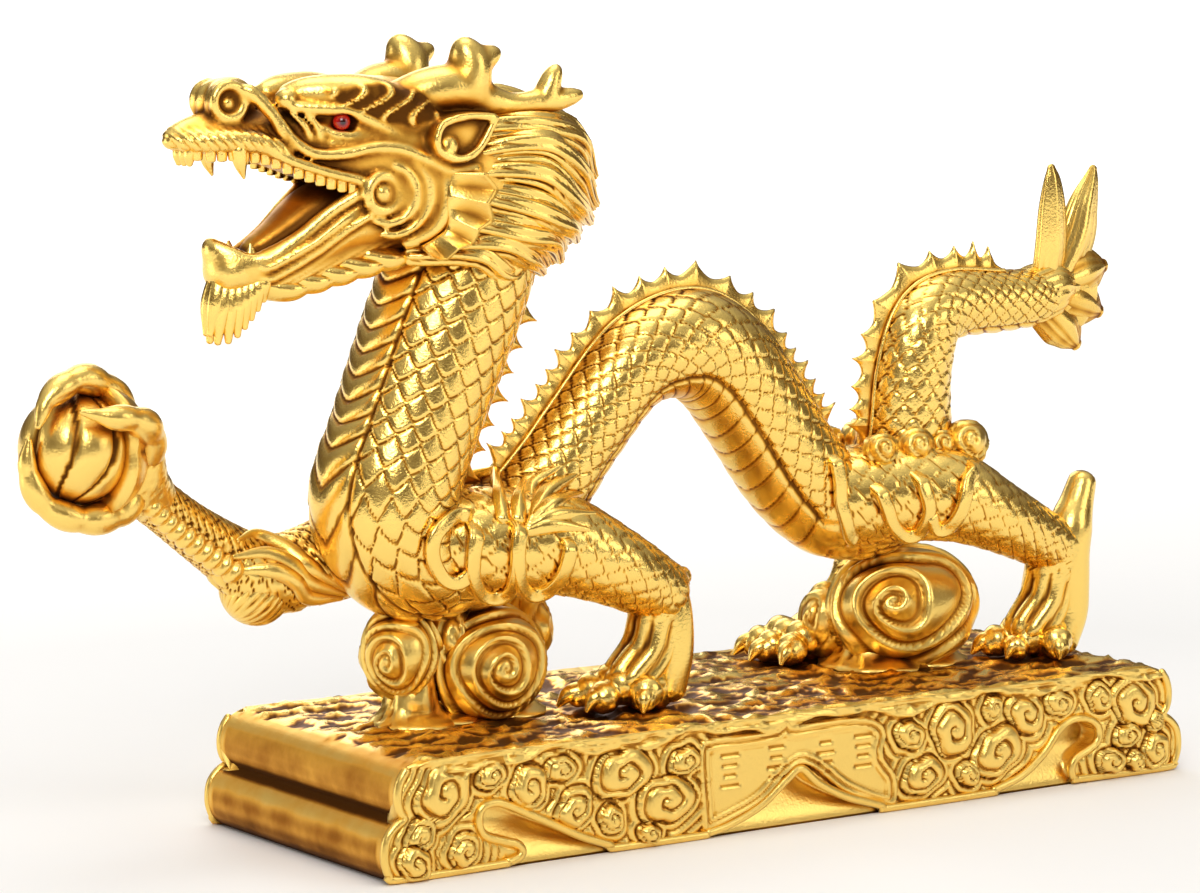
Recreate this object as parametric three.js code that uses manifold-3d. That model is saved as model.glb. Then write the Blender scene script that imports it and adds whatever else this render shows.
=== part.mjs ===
// A gilded cast-metal dragon ornament: the dragon with its two cloud supports is one casting,
// it stands on a scrolled plinth, and two red glass beads are set in its eye sockets.
// Millimetres, +Z up. X runs along the plinth with the head towards -X, and -Y is the front.
// The origin is the middle of the plinth's underside.
import * as THREE from "three";
import { mergeVertices } from "three/addons/utils/BufferGeometryUtils.js";
import Module from "manifold-3d";

const wasm = await Module();
wasm.setup();

// Driving dimensions
const PLINTH_LENGTH = 250;
const PLINTH_DEPTH = 83;
const PLINTH_HEIGHT = 29;
const SEAT_GAP = 0.3; // joint between the dragon casting and the plinth, and round each eye bead
const EYE_RADIUS = 2.1;
const PEARL_RADIUS = 13.5;
const SPIKE_HEIGHT = 7;
const TOOTH_SIZE = 2.3;
const WELD = 1e-4;
const SLIVER = 0.7; // detail smaller than this is flattened after the parts are joined

const FRONT = -PLINTH_DEPTH / 2;
const SEAT = PLINTH_HEIGHT + SEAT_GAP;
const SIDES = [-1, 1]; // near side, far side

const gold = new THREE.MeshStandardMaterial({ color: 0xd9a02c, roughness: 0.32, metalness: 1 });
const plinthGold = new THREE.MeshStandardMaterial({ color: 0xd09428, roughness: 0.36, metalness: 1 });
const redGlass = new THREE.MeshStandardMaterial({ color: 0xb5121b, roughness: 0.1, metalness: 0 });

// Solids from geometries

function solid(geometry) {
  const bare = geometry.clone();
  bare.deleteAttribute("normal");
  bare.deleteAttribute("uv");
  const welded = mergeVertices(bare, WELD);
  return new wasm.Manifold(
    new wasm.Mesh({
      numProp: 3,
      vertProperties: new Float32Array(welded.attributes.position.array),
      triVerts: new Uint32Array(welded.index.array),
    }),
  );
}

function join(solids) {
  return solids.reduce((whole, next) => whole.add(next));
}

// The casting without the pockets that are shut in between overlapping parts.
function outerSkin(shape) {
  return shape.decompose().reduce((largest, next) => (next.volume() > largest.volume() ? next : largest));
}

// One casting from overlapping parts, with slivers along the joins flattened.
function cast(shape) {
  return outerSkin(outerSkin(shape).asOriginal().simplify(SLIVER));
}

function meshOf(name, shape, material) {
  const { vertProperties, triVerts } = shape.getMesh();
  const geometry = new THREE.BufferGeometry();
  geometry.setAttribute("position", new THREE.BufferAttribute(vertProperties, 3));
  geometry.setIndex(new THREE.BufferAttribute(triVerts, 1));
  geometry.computeVertexNormals();
  const mesh = new THREE.Mesh(geometry, material);
  mesh.name = name;
  return mesh;
}

// Round or flattened sections carried along a smooth curve through knots [x, y, z, radius].
// flat scales a section across Y and across the curve's own plane; both ends close in a dome.
function limb(knots, { steps = 3, sides = 8, flat = [1, 1], dome = 0.5 } = {}) {
  const curve = new THREE.CatmullRomCurve3(knots.map(([x, y, z]) => new THREE.Vector3(x, y, z)));
  const girth = new THREE.CatmullRomCurve3(
    knots.map((knot) => new THREE.Vector3(knot[3], 0, 0)),
    false,
    "catmullrom",
  );
  const rings = (knots.length - 1) * steps + 1;
  const positions = [];
  let side = new THREE.Vector3(0, 1, 0);
  const poles = [];
  for (let ring = 0; ring < rings; ring++) {
    const t = ring / (rings - 1);
    const centre = curve.getPoint(t);
    const along = curve.getTangent(t);
    const radius = Math.max(girth.getPoint(t).x, 0.3);
    side = side.clone().addScaledVector(along, -side.dot(along)).normalize();
    const across = new THREE.Vector3().crossVectors(along, side);
    for (let k = 0; k < sides; k++) {
      const angle = (2 * Math.PI * k) / sides;
      const point = centre.clone();
      point.addScaledVector(side, radius * flat[0] * Math.cos(angle));
      point.addScaledVector(across, radius * flat[1] * Math.sin(angle));
      positions.push(point.x, point.y, point.z);
    }
    if (ring === 0) poles.push(centre.clone().addScaledVector(along, -radius * dome));
    if (ring === rings - 1) poles.push(centre.clone().addScaledVector(along, radius * dome));
  }
  const [first, last] = [rings * sides, rings * sides + 1];
  poles.forEach((pole) => positions.push(pole.x, pole.y, pole.z));
  const index = [];
  for (let k = 0; k < sides; k++) {
    const next = (k + 1) % sides;
    index.push(first, next, k);
    for (let ring = 0; ring < rings - 1; ring++) {
      const [low, high] = [ring * sides, (ring + 1) * sides];
      index.push(low + k, low + next, high + next, low + k, high + next, high + k);
    }
    index.push(last, (rings - 1) * sides + k, (rings - 1) * sides + next);
  }
  const geometry = new THREE.BufferGeometry();
  geometry.setAttribute("position", new THREE.Float32BufferAttribute(positions, 3));
  geometry.setIndex(index);
  return solid(geometry);
}

function ball([x, y, z], [rx, ry, rz], columns = 10, rows = 7) {
  const geometry = new THREE.SphereGeometry(1, columns, rows);
  geometry.rotateX(Math.PI / 2).scale(rx, ry, rz).translate(x, y, z);
  return solid(geometry);
}

function box(low, high) {
  const size = high.map((value, axis) => value - low[axis]);
  const geometry = new THREE.BoxGeometry(...size);
  return solid(geometry.translate(...low.map((value, axis) => value + size[axis] / 2)));
}

// A four-sided spike standing on a point, thin across Y.
function spike([x, y, z], direction, height, width, thickness) {
  const up = direction.clone().normalize();
  const thin = new THREE.Vector3(0, 1, 0).addScaledVector(up, -up.y).normalize();
  const along = new THREE.Vector3().crossVectors(up, thin);
  const geometry = new THREE.ConeGeometry(1, 1, 4).translate(0, 0.5, 0);
  geometry.scale(width, height, thickness);
  geometry.applyMatrix4(new THREE.Matrix4().makeBasis(along, up, thin));
  return solid(geometry.translate(x, y, z));
}

// The same knots on the near side (-1) or the far side (+1).
function onSide(side, knots) {
  return knots.map(([x, y, z, r]) => [x, side * y, z, r]);
}

// Trunk: neck, arched back and tail, each a limb in the plane y = 0

const NECK = [
  [-70, 0, 160, 17],
  [-76.7, 0, 141, 18.3],
  [-84.4, 0, 122.9, 18.3],
  [-93, 0, 101.9, 17.8],
  [-98.5, 0, 85, 18.3],
  [-93, 0, 73, 17],
  [-82, 0, 70, 15.5],
];
const BACK = [
  [-88, 0, 72, 15],
  [-74, 0, 70.5, 14.5],
  [-62, 0, 76, 13.5],
  [-51, 0, 87, 12.5],
  [-41.2, 0, 98.6, 12],
  [-25.5, 0, 114.7, 12.4],
  [-8.7, 0, 119.1, 14],
  [3.4, 0, 113.5, 14.3],
  [13.4, 0, 101.7, 14.2],
  [26.8, 0, 84, 14.2],
  [39.4, 0, 73.5, 13.6],
  [52, 0, 71.7, 12.6],
];
const TAIL = [
  [46, 0, 70, 12],
  [56, 0, 72.5, 12.2],
  [62, 0, 81, 12],
  [63.6, 0, 92, 11.5],
  [64.6, 0, 107, 9.8],
  [68.5, 0, 120, 9.8],
  [78.7, 0, 124.5, 9],
  [95.7, 0, 124.6, 8.1],
  [109, 0, 125.5, 7.8],
  [119, 0, 130.5, 7],
  [124, 0, 139.8, 5],
];

// Spikes along the back of a trunk limb, from share `from` to share `to` of its curve.
function crest(knots, from, to, count) {
  const curve = new THREE.CatmullRomCurve3(knots.map(([x, y, z]) => new THREE.Vector3(x, y, z)));
  const spikes = [];
  for (let i = 0; i < count; i++) {
    const t = from + ((to - from) * i) / (count - 1);
    const along = curve.getTangent(t);
    const back = new THREE.Vector3(-along.z, 0, along.x);
    const place = t * (knots.length - 1);
    const low = Math.min(Math.floor(place), knots.length - 2);
    const radius = THREE.MathUtils.lerp(knots[low][3], knots[low + 1][3], place - low);
    const foot = curve.getPoint(t).addScaledVector(back, radius * 0.86);
    const height = SPIKE_HEIGHT * (i % 2 ? 0.95 : 1.2) + radius * 0.14;
    spikes.push(spike(foot.toArray(), back, height, 4.6, 2));
  }
  return spikes;
}

function trunk() {
  return [
    limb(NECK, { sides: 10, steps: 2 }),
    limb(BACK, { sides: 10, steps: 2 }),
    limb(TAIL, { sides: 8, steps: 2 }),
    ...crest(NECK, 0.16, 0.68, 10),
    ...crest(BACK, 0.2, 0.84, 18),
    ...crest(TAIL, 0.24, 0.76, 11),
  ];
}

// Tail fan: flat flame leaves

function tailFan() {
  const leaves = [
    [[117, 0, 131, 5], [112, -2, 146, 5.5], [110, -4, 161, 0.8]],
    [[121, 0, 134, 5], [126, 2, 147, 4.8], [131.5, 4, 160, 0.8]],
    [[121, 0, 133, 5], [132, 1, 138, 4.5], [136.5, 1, 130, 0.8]],
    [[119, 0, 130, 5], [130, 0, 127, 4.5], [135, 0, 119, 0.8]],
    [[117, 0, 128, 5], [122, -1, 119, 4.8], [122, -1, 109, 0.8]],
  ];
  return leaves.map((knots) => limb(knots, { sides: 6, steps: 2, flat: [0.5, 1], dome: 0.2 }));
}

// Legs

// Toes spread from an ankle to their tips on the seat, each ending in a hooked claw.
function toes([x, y, z], tips) {
  return tips.map(([tx, ty]) => {
    const at = (share, height, r) => [x + (tx - x) * share, y + (ty - y) * share, height, r];
    return limb([at(0.1, z, 5), at(0.5, SEAT + 5, 3.9), at(0.8, SEAT + 3.4, 3.2), at(1, SEAT, 0.5)], {
      sides: 5,
      steps: 1,
    });
  });
}

function nearForeleg() {
  return [
    limb([[-66, -9, 80, 13], [-55, -14, 74, 12], [-41, -17, 66, 9.5], [-27, -16.5, 58.5, 8]], { steps: 2 }),
    limb([[-27, -16.5, 58.5, 7.5], [-20.5, -16, 60, 2.4]], { sides: 6 }),
    limb([[-27, -16.5, 60, 7.2], [-24.2, -16, 51, 6.6], [-24, -15.5, 42, 6], [-28, -15, 34, 6.5]], { steps: 2 }),
    ...toes([-28, -15, 34], [[-51, -7], [-49, -17], [-39, -26]]),
  ];
}

function farForeleg() {
  const tuft = [[-123, 18, 66, 6], [-127, 18, 59, 4.4], [-128, 18, 53.5, 1]];
  return [
    limb([[-92, 9, 76, 12], [-106, 15, 69.5, 10.5], [-118, 17.5, 67.5, 9], [-127, 18, 69.5, 8],
      [-141, 16, 78, 6.4], [-153, 14, 86.5, 5.8], [-164, 12.5, 95, 6.5]], { steps: 2 }),
    limb(tuft, { sides: 6, flat: [0.6, 1.1] }),
  ];
}

function nearHindLeg() {
  return [
    limb([[58, -8, 80, 13], [68, -13, 76, 12.5], [82, -16, 69.5, 9.5], [97, -15.5, 62.5, 7.8],
      [107, -14.5, 58, 7]], { steps: 2 }),
    limb([[106, -14.5, 58, 6.5], [112, -14, 69, 4.8], [115, -14, 77, 3]], { sides: 6 }),
    limb([[106, -14.5, 60, 8], [108.5, -14, 49, 7.4], [108.5, -13.5, 40, 7], [105, -13, 34, 7]], { steps: 2 }),
    ...toes([106, -13, 34], [[86, -5], [88, -16], [98, -25]]),
  ];
}

function farHindLeg() {
  return [
    limb([[60, 8, 78, 12], [67, 15, 67, 9], [66, 19, 54, 7.5], [58, 20, 42, 6.5], [50, 20, 35, 6.5]], { steps: 2 }),
    ...toes([50, 20, 35], [[31, 31], [28, 20], [31, 10]]),
  ];
}

// Pearl held in the raised claw

function pearlAndClaw() {
  const fingers = [
    [[-164, 11, 103, 4.6], [-167, 11, 113, 4], [-177, 9.5, 118.5, 3.6], [-187, 8.5, 115, 2.8], [-191.5, 8, 109, 0.8]],
    [[-161, 7, 98, 4.6], [-165, 0, 105, 4], [-173, -4, 109, 3.2], [-182, -4, 110, 0.8]],
    [[-163, 10, 92, 4.6], [-169, 8, 87.5, 4], [-180, 6, 87, 3.4], [-189, 6, 92, 0.8]],
    [[-163, 17, 98, 4.6], [-169, 24, 101, 3.8], [-182, 24, 105, 3.2], [-191, 17, 107, 0.8]],
  ];
  return [
    ball([-177.5, 11, 102.5], [PEARL_RADIUS, PEARL_RADIUS, PEARL_RADIUS], 12, 8),
    ball([-165, 12.5, 97.5], [6, 8, 8.5], 8, 6),
    ...fingers.map((knots) => limb(knots, { sides: 5, steps: 1 })),
  ];
}

// Flame ribbons: U-shaped loops lying on the shoulder and the haunch

function ribbonLoop(side, left, right, top, bottom, lift) {
  const [middle, half] = [(left + right) / 2, (right - left) / 2];
  const bend = bottom + half;
  const arm = [[left, top], [left, (top + bend) / 2]];
  const knots = [...arm];
  for (let k = 0; k <= 3; k++) {
    const angle = Math.PI * (1 + k / 3);
    knots.push([middle + half * Math.cos(angle), bend + half * Math.sin(angle)]);
  }
  knots.push([right, (top + bend) / 2], [right, top]);
  return limb(
    knots.map(([x, z]) => [x, side * lift(x, z), z, 1.9]),
    { sides: 4, steps: 1 },
  );
}

function ribbons() {
  const shoulder = (x, z) => 18 + 0.2 * Math.max(0, x + 90) - 0.02 * (z - 72) ** 2 * 0.5;
  const haunch = (x, z) => 15.5 + 0.28 * Math.max(0, x - 38) - 0.008 * (z - 74) ** 2;
  const loops = [];
  loops.push(ribbonLoop(-1, -97, -86.5, 82, 66.5, shoulder));
  loops.push(ribbonLoop(-1, -73, -57.5, 83, 61, shoulder));
  loops.push(ribbonLoop(-1, 29.5, 41, 84, 65.5, haunch));
  loops.push(ribbonLoop(-1, 57, 70, 83, 66.5, haunch));
  for (const side of SIDES) {
    loops.push(ribbonLoop(side, -85, -74.5, 83, 60.5, shoulder));
    loops.push(ribbonLoop(side, 42, 55.5, 84, 65.5, haunch));
    loops.push(limb([[-76, side * 8, 76, 4], [-76, side * 10, 84, 3], [-75, side * 10, 91, 0.6]], { sides: 5 }));
    loops.push(limb([[-68, side * 8, 78, 4], [-69, side * 9, 86, 3], [-67, side * 8, 93, 0.6]], { sides: 5 }));
    for (let k = 0; k < 4; k++) {
      const size = k === 3 ? 5 : 3.8;
      loops.push(ball([52 + 7.6 * k, side * 9.5, 88 - 0.4 * k], [size, size + 1, size], 7, 4));
    }
  }
  return loops;
}

// Head

function skull() {
  const cranium = [[-66, 0, 160, 20], [-84, 0, 165, 21], [-102, 0, 171, 18], [-118, 0, 174.5, 13.5],
    [-134, 0, 176.5, 10.5], [-148, 0, 176, 8.6], [-156, 0, 176, 5.5]];
  const lowerJaw = [[-80, 0, 158, 16], [-96, 0, 153.5, 15], [-112, 0, 149.5, 12], [-128, 0, 146.5, 9.5],
    [-141, 0, 146, 8], [-147.5, 0, 149.5, 4.2]];
  const throat = [[-84, 0, 161.5, 3], [-98, 0, 162, 7], [-114, 0, 161, 9.5], [-130, 0, 160, 11.5],
    [-146, 0, 161, 13], [-166, 0, 163, 16]];
  const head = join([
    limb(cranium, { sides: 12, steps: 1, flat: [0.95, 1] }),
    limb(lowerJaw, { sides: 10, steps: 1, flat: [1.05, 0.72] }),
    ...SIDES.map((side) => ball([-93, side * 11, 160], [13, 7.5, 11.5], 10, 6)),
  ]);
  return head.subtract(limb(throat, { sides: 8, steps: 1, flat: [0.82, 0.74] }));
}

function face(side) {
  const brow = [[-129, 7, 183.5, 3.4], [-121, 8.5, 187, 4.4], [-108, 10, 186.5, 5.4], [-96, 13, 181.5, 5],
    [-88, 15, 177.5, 2.5]];
  const cheekRidge = [[-130, 8.5, 172, 1.8], [-118, 11.5, 169.5, 2.2], [-108, 14, 172.5, 2.2],
    [-96, 17.5, 171, 2.2], [-82, 18.5, 168, 1.6]];
  const lip = [[-152, 5.5, 173.5, 2], [-140, 7.8, 172, 2.4], [-126, 9.4, 170, 2.3], [-110, 12, 165.5, 2],
    [-99, 14.5, 162, 1.6]];
  const lowerLip = [[-146, 4, 150.5, 1.8], [-134, 7.2, 151, 2], [-120, 9.6, 154.5, 2], [-106, 13, 159.5, 1.8]];
  const strands = [brow, cheekRidge, lip, lowerLip];
  return strands.map((knots) => limb(onSide(side, knots), { sides: 5, steps: 1 }));
}

function nose() {
  const bulb = ball([-140.5, 0, 184], [8.6, 8.2, 6.4], 10, 6);
  const bridge = limb([[-138, 0, 184, 5], [-129, 0, 183, 4.6], [-120, 0, 186, 5.5]], { sides: 6, steps: 1 });
  const nostrils = SIDES.map((side) => ball([-142, side * 8.4, 184], [3.4, 3.6, 2.9], 7, 4));
  return join([bulb, bridge]).subtract(join(nostrils));
}

function teeth(side) {
  const rows = [];
  for (let k = 0; k < 8; k++) {
    const t = k / 7;
    const x = -149 + 43 * t;
    const z = 168.8 - 6.2 * t - 2.6 * t * t;
    const y = side * (4.6 + 7.6 * t);
    const half = TOOTH_SIZE / 2;
    rows.push(box([x - half * 1.3, y - half, z - 1.6], [x + half * 1.3, y + half, z + 4.5]));
  }
  const down = new THREE.Vector3(-0.15, 0, -1);
  const up = new THREE.Vector3(-0.35, 0, 1);
  rows.push(spike([-142.5, side * 6.4, 169], down, 7, 2.4, 1.8));
  rows.push(spike([-137.5, side * 5.6, 149.5], up, 7.5, 2.4, 1.8));
  rows.push(limb(onSide(side, [[-99, 15, 164, 2], [-100.5, 16.5, 160, 2.2], [-97.5, 17, 155, 1]]), { sides: 6 }));
  return rows;
}

function antler(side) {
  const beam = [[-99, 10, 183, 4.6], [-88, 13, 186.5, 4.6], [-74, 15, 184, 3.9], [-62, 16, 183, 3.3],
    [-54, 16.5, 184.5, 2.6], [-48.5, 17, 186.5, 1.4]];
  const tines = [
    [[-84, 13.5, 186, 3.8], [-82, 14.5, 192, 3.4], [-82, 15, 197.5, 1.8]],
    [[-82, 14.5, 191, 2.8], [-76, 15, 194, 2.2], [-72.5, 15, 195.5, 1.2]],
    [[-62, 16, 184, 3], [-60, 16.5, 188, 2.4], [-59, 17, 192, 1.2]],
  ];
  return [beam, ...tines].map((knots) => limb(onSide(side, knots), { sides: 5, steps: 1 }));
}

function ear(side) {
  const shell = limb(
    onSide(side, [[-92, 15, 171, 2.5], [-88, 18, 173.5, 5.5], [-80, 20, 176, 6], [-71.5, 21, 179, 1.6]]),
    { sides: 8, steps: 2, flat: [0.5, 1] },
  );
  return shell.subtract(ball([-83, side * 22.5, 175], [6.5, 3.6, 4.2], 8, 6));
}

function jawFins(side) {
  const fins = [];
  for (let k = 0; k < 4; k++) {
    const angle = THREE.MathUtils.degToRad(8 - 26 * k);
    const outward = new THREE.Vector3(Math.cos(angle), side * 0.25, Math.sin(angle));
    const foot = [-87 - 2.5 * k, side * (17.5 - 0.9 * k), 163.5 - 4.8 * k];
    fins.push(spike(foot, outward, 12 - 0.8 * k, 4.4, 2.5));
  }
  return fins;
}

// Locks sweep back from a ring behind the cheeks, swell over the nape and gather at the tips.
function mane() {
  const locks = [ball([-64, 0, 161], [20, 17, 18], 10, 7)];
  const rows = 5;
  for (const side of SIDES) {
    for (let k = 0; k < rows; k++) {
      const angle = THREE.MathUtils.degToRad(10 + 140 * (k / (rows - 1)));
      const [s, c] = [side * Math.sin(angle), Math.cos(angle)];
      const wave = k % 2 ? 2.2 : -2.2;
      const reach = -41 - 2.6 * Math.abs(k - 2);
      locks.push(
        limb(
          [
            [-82, 15.5 * s, 162 + 14 * c, 4],
            [-69, 19.5 * s, 161 + 16 * c + wave, 5.4],
            [-56, 18.5 * s, 159.5 + 15 * c - wave, 4.8],
            [reach, 13 * s, 159 + 13.5 * c + wave, 1.2],
          ],
          { sides: 4, steps: 2 },
        ),
      );
    }
  }
  return locks;
}

function beard() {
  const tuft = [];
  for (let k = -2; k <= 2; k++) {
    const spread = k / 2;
    tuft.push(
      limb(
        [
          [-141 + 1.5 * Math.abs(k), 4 * spread, 141, 3.6],
          [-143 + 2.5 * Math.abs(k), 6 * spread, 134, 3.6],
          [-145 + 5 * Math.abs(spread), 4 * spread, 127.5 + 2.5 * Math.abs(spread), 0.8],
        ],
        { sides: 5, steps: 1 },
      ),
    );
  }
  for (const side of SIDES) {
    for (let k = 0; k < 4; k++) {
      const x = -132 + 8.5 * k;
      tuft.push(
        limb(
          [[x - 3, side * (6 + k), 143.5 + 0.6 * k, 3], [x + 3, side * (7.5 + k), 141.5 + 0.4 * k, 2.8],
            [x + 9, side * (8 + k), 140.5 + 0.6 * k, 0.7]],
          { sides: 4, steps: 1 },
        ),
      );
    }
  }
  return tuft;
}

function headParts() {
  const tongue = limb([[-92, 0, 158, 4], [-108, 0, 156, 5], [-122, 0, 153.5, 4.4], [-132, 0, 153.5, 2]], {
    flat: [1.2, 0.5],
    steps: 2,
  });
  const paired = SIDES.flatMap((side) => [
    ...face(side),
    ...teeth(side),
    ...antler(side),
    ear(side),
    ...jawFins(side),
  ]);
  return [skull(), nose(), tongue, ...paired, ...mane(), ...beard()];
}

function eyeCentre(side) {
  return [-117.5, side * 12.4, 179.2];
}

// Cloud supports: rounded masses with a spiral ridge on the face

function spiralRidge([x, y, z], radius, turns, side, thickness) {
  const knots = [];
  const count = Math.round(turns * 6);
  for (let k = 0; k <= count; k++) {
    const share = k / count;
    const angle = 2 * Math.PI * turns * share;
    const reach = radius * (0.12 + 0.88 * share);
    const bulge = Math.sqrt(Math.max(0, 1 - 0.75 * (reach / radius) ** 2));
    knots.push([x - reach * Math.cos(angle), y + side * radius * 0.55 * bulge, z + reach * Math.sin(angle), thickness]);
  }
  return limb(knots, { sides: 4, steps: 1 });
}

function clouds() {
  const masses = [
    ball([-70, 3, 43], [15, 15, 17], 10, 6),
    ball([-93, 3, 45], [9, 11, 12], 8, 5),
    ball([-82, 12, 42], [16, 11, 17], 8, 5),
    ball([-53, 9, 43], [8, 9, 12], 7, 5),
    limb([[-92, 6, 30, 10], [-78, 6, 31, 12], [-60, 6, 30, 10]], { sides: 6, steps: 1, flat: [1.3, 0.6] }),
    ball([67, 3, 45], [22, 16, 18], 12, 7),
    ball([50, 6, 42], [9, 13.5, 15], 8, 5),
    limb([[46, 4, 30, 10], [66, 4, 31, 13], [84, 4, 30, 10]], { sides: 6, steps: 1, flat: [1.3, 0.6] }),
  ];
  const ridges = SIDES.flatMap((side) => [
    spiralRidge([-70, 3 + side * 7.5, 43], 12.5, 1.6, side, 2),
    spiralRidge([66, 3 + side * 7, 46], 15, 1.6, side, 2.2),
  ]);
  return [...masses, ...ridges, spiralRidge([-93, -2.5, 45], 7.5, 1.4, -1, 1.7)];
}

function dragon() {
  const whole = join([
    ...trunk(),
    ...tailFan(),
    ...nearForeleg(),
    ...farForeleg(),
    ...nearHindLeg(),
    ...farHindLeg(),
    ...pearlAndClaw(),
    ...ribbons(),
    ...clouds(),
    ...headParts(),
  ]);
  const below = box([-300, -200, -200], [300, 200, SEAT]);
  const sockets = SIDES.map((side) =>
    ball(eyeCentre(side), Array(3).fill(EYE_RADIUS + SEAT_GAP), 8, 6),
  );
  return outerSkin(cast(whole).subtract(join([below, ...sockets])));
}

// Plinth: a two-lobed scroll profile, arched along its skirt, with cloud relief and a tablet

const LOBE = PLINTH_HEIGHT / 2;
const HALF = PLINTH_LENGTH / 2;
const INSET = 5; // the upper roll stands back from the lower one
const ARCH_DEPTH = 7;

function scrollProfile() {
  const shape = new THREE.Shape();
  shape.moveTo(-HALF + 3, 0);
  shape.lineTo(HALF - 3, 0);
  shape.bezierCurveTo(HALF + 1, 2, HALF + 1, LOBE - 2, HALF - INSET, LOBE);
  shape.bezierCurveTo(HALF - INSET + 3, LOBE + 3, HALF - INSET + 2, PLINTH_HEIGHT - 2, HALF - INSET - 6, PLINTH_HEIGHT);
  shape.lineTo(-HALF + INSET + 6, PLINTH_HEIGHT);
  shape.bezierCurveTo(-HALF + INSET - 2, PLINTH_HEIGHT - 2, -HALF + INSET - 3, LOBE + 3, -HALF + INSET, LOBE);
  shape.bezierCurveTo(-HALF - 1, LOBE - 2, -HALF - 1, 2, -HALF + 3, 0);
  return shape;
}

// An arch under the skirt, from foot to foot with its peak at [peak, height].
function skirtArch(left, peak, height, right) {
  const shape = new THREE.Shape();
  shape.moveTo(left, -1);
  shape.quadraticCurveTo((left + 2 * peak) / 3, height * 0.2, peak, height);
  shape.quadraticCurveTo((right + 2 * peak) / 3, height * 0.2, right, -1);
  return shape;
}

function extruded(shape, depth, y, segments) {
  const geometry = new THREE.ExtrudeGeometry(shape, { depth, bevelEnabled: false, curveSegments: segments });
  return solid(geometry.rotateX(Math.PI / 2).translate(0, y, 0));
}

// A cloud curl: a low tapered disc with a raised eye, standing on the front or the back.
function cloudCurl(side, x, z, radius) {
  const disc = new THREE.CylinderGeometry(radius * 0.82, radius, 2.2, 6);
  const eye = new THREE.CylinderGeometry(radius * 0.22, radius * 0.42, 2.6, 4).translate(0, 1.4, 0);
  return [disc, eye].map((geometry) =>
    solid(geometry.rotateX(side > 0 ? 0 : Math.PI).translate(x, side * (-FRONT + 0.3), z)),
  );
}

function tablet() {
  const shape = new THREE.Shape();
  shape.moveTo(-31, 3);
  shape.lineTo(-31, 22);
  shape.quadraticCurveTo(-14, 22.5, -2, 27);
  shape.quadraticCurveTo(12, 22.5, 29, 22);
  shape.lineTo(29, 3);
  shape.quadraticCurveTo(10, 4, -2, 14.5);
  shape.quadraticCurveTo(-14, 4, -31, 3);
  return extruded(shape, 1.6, FRONT + 0.4, 3);
}

function plinth() {
  const arches = [[-87, -92, 15.5, -56], [-32, -2, 13.5, 26], [62, 95, 14.5, 92]];
  let block = extruded(scrollProfile(), PLINTH_DEPTH, PLINTH_DEPTH / 2, 5);
  for (const [left, peak, height, right] of arches) {
    const cut = skirtArch(left, peak, height, right);
    block = block.subtract(extruded(cut, ARCH_DEPTH, FRONT + ARCH_DEPTH - 1, 4));
    block = block.subtract(extruded(cut, ARCH_DEPTH, -FRONT + 1, 4));
  }
  const front = [[-109, 21, 6], [-114, 7, 5], [-100, 7, 4.5], [-84, 20, 5.5], [-72, 23.5, 4], [-62, 10, 5],
    [-56, 21, 5.5], [-42, 12, 5.5], [-45, 24, 3.8], [38, 12, 5], [48, 21.5, 5.5], [62, 11.5, 6], [71, 22, 5.5],
    [84, 21, 4.5], [110, 21, 5.5], [103, 7, 4.5], [115, 6.5, 4.5]];
  const behind = front.filter((curl, k) => k % 3 === 0);
  const curls = [
    ...front.flatMap(([x, z, r]) => cloudCurl(-1, x, z, r)),
    ...behind.flatMap(([x, z, r]) => cloudCurl(1, x, z, r)),
  ];
  return cast(join([block, tablet(), ...curls]));
}

// The ornament

const ornament = new THREE.Group();
ornament.add(meshOf("dragon", dragon(), gold));
ornament.add(meshOf("plinth", plinth(), plinthGold));
SIDES.forEach((side, k) => {
  const bead = ball(eyeCentre(side), Array(3).fill(EYE_RADIUS), 8, 6);
  ornament.add(meshOf(["eye_near", "eye_far"][k], bead, redGlass));
});

export default ornament;
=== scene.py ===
# %% [markdown]
# # A gilded dragon on its plinth
# The real thing is a hollow casting, chased and gilded, that stands on a separate plinth.
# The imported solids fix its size, pose and outline.
# This lesson lays the chased surface over them: each piece is a skin worked out with numpy
# along the same centre lines that the solids follow, with scales, locks and curls as real relief.

import bpy
import numpy as np
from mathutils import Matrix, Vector


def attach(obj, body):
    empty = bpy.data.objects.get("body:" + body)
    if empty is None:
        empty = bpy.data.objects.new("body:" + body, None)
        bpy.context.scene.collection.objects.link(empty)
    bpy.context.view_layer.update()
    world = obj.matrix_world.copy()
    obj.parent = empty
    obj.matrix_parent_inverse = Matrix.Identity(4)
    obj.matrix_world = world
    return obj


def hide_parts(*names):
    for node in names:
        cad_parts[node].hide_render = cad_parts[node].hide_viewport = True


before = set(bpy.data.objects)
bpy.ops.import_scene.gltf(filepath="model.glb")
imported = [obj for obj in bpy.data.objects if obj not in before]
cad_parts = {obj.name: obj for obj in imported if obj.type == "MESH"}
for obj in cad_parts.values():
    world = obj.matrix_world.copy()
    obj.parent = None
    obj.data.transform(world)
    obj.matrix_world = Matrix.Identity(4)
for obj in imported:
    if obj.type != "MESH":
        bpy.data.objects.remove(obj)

MM = 0.001
TURN = 2 * np.pi
NEAR, FAR = -1, 1  # the sign of y on the flank that the camera sees, and on the other
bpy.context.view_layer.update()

# %% [markdown]
# ## The view
# The photograph looks down a little on the dragon's left flank from well in front.
# A long lens at about a metre keeps the near and far legs almost the same size.

# %% Camera
CAMERA_STAND, CAMERA_AIM = (-0.66229, -0.91065, 0.23032), (-0.03418, 0.0, 0.0942)
LENS, FILM = 131.95, 36


def in_scene(name, data):
    """An object that holds the data, linked to the scene."""
    made = bpy.data.objects.new(name, data)
    bpy.context.scene.collection.objects.link(made)
    return made


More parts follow.
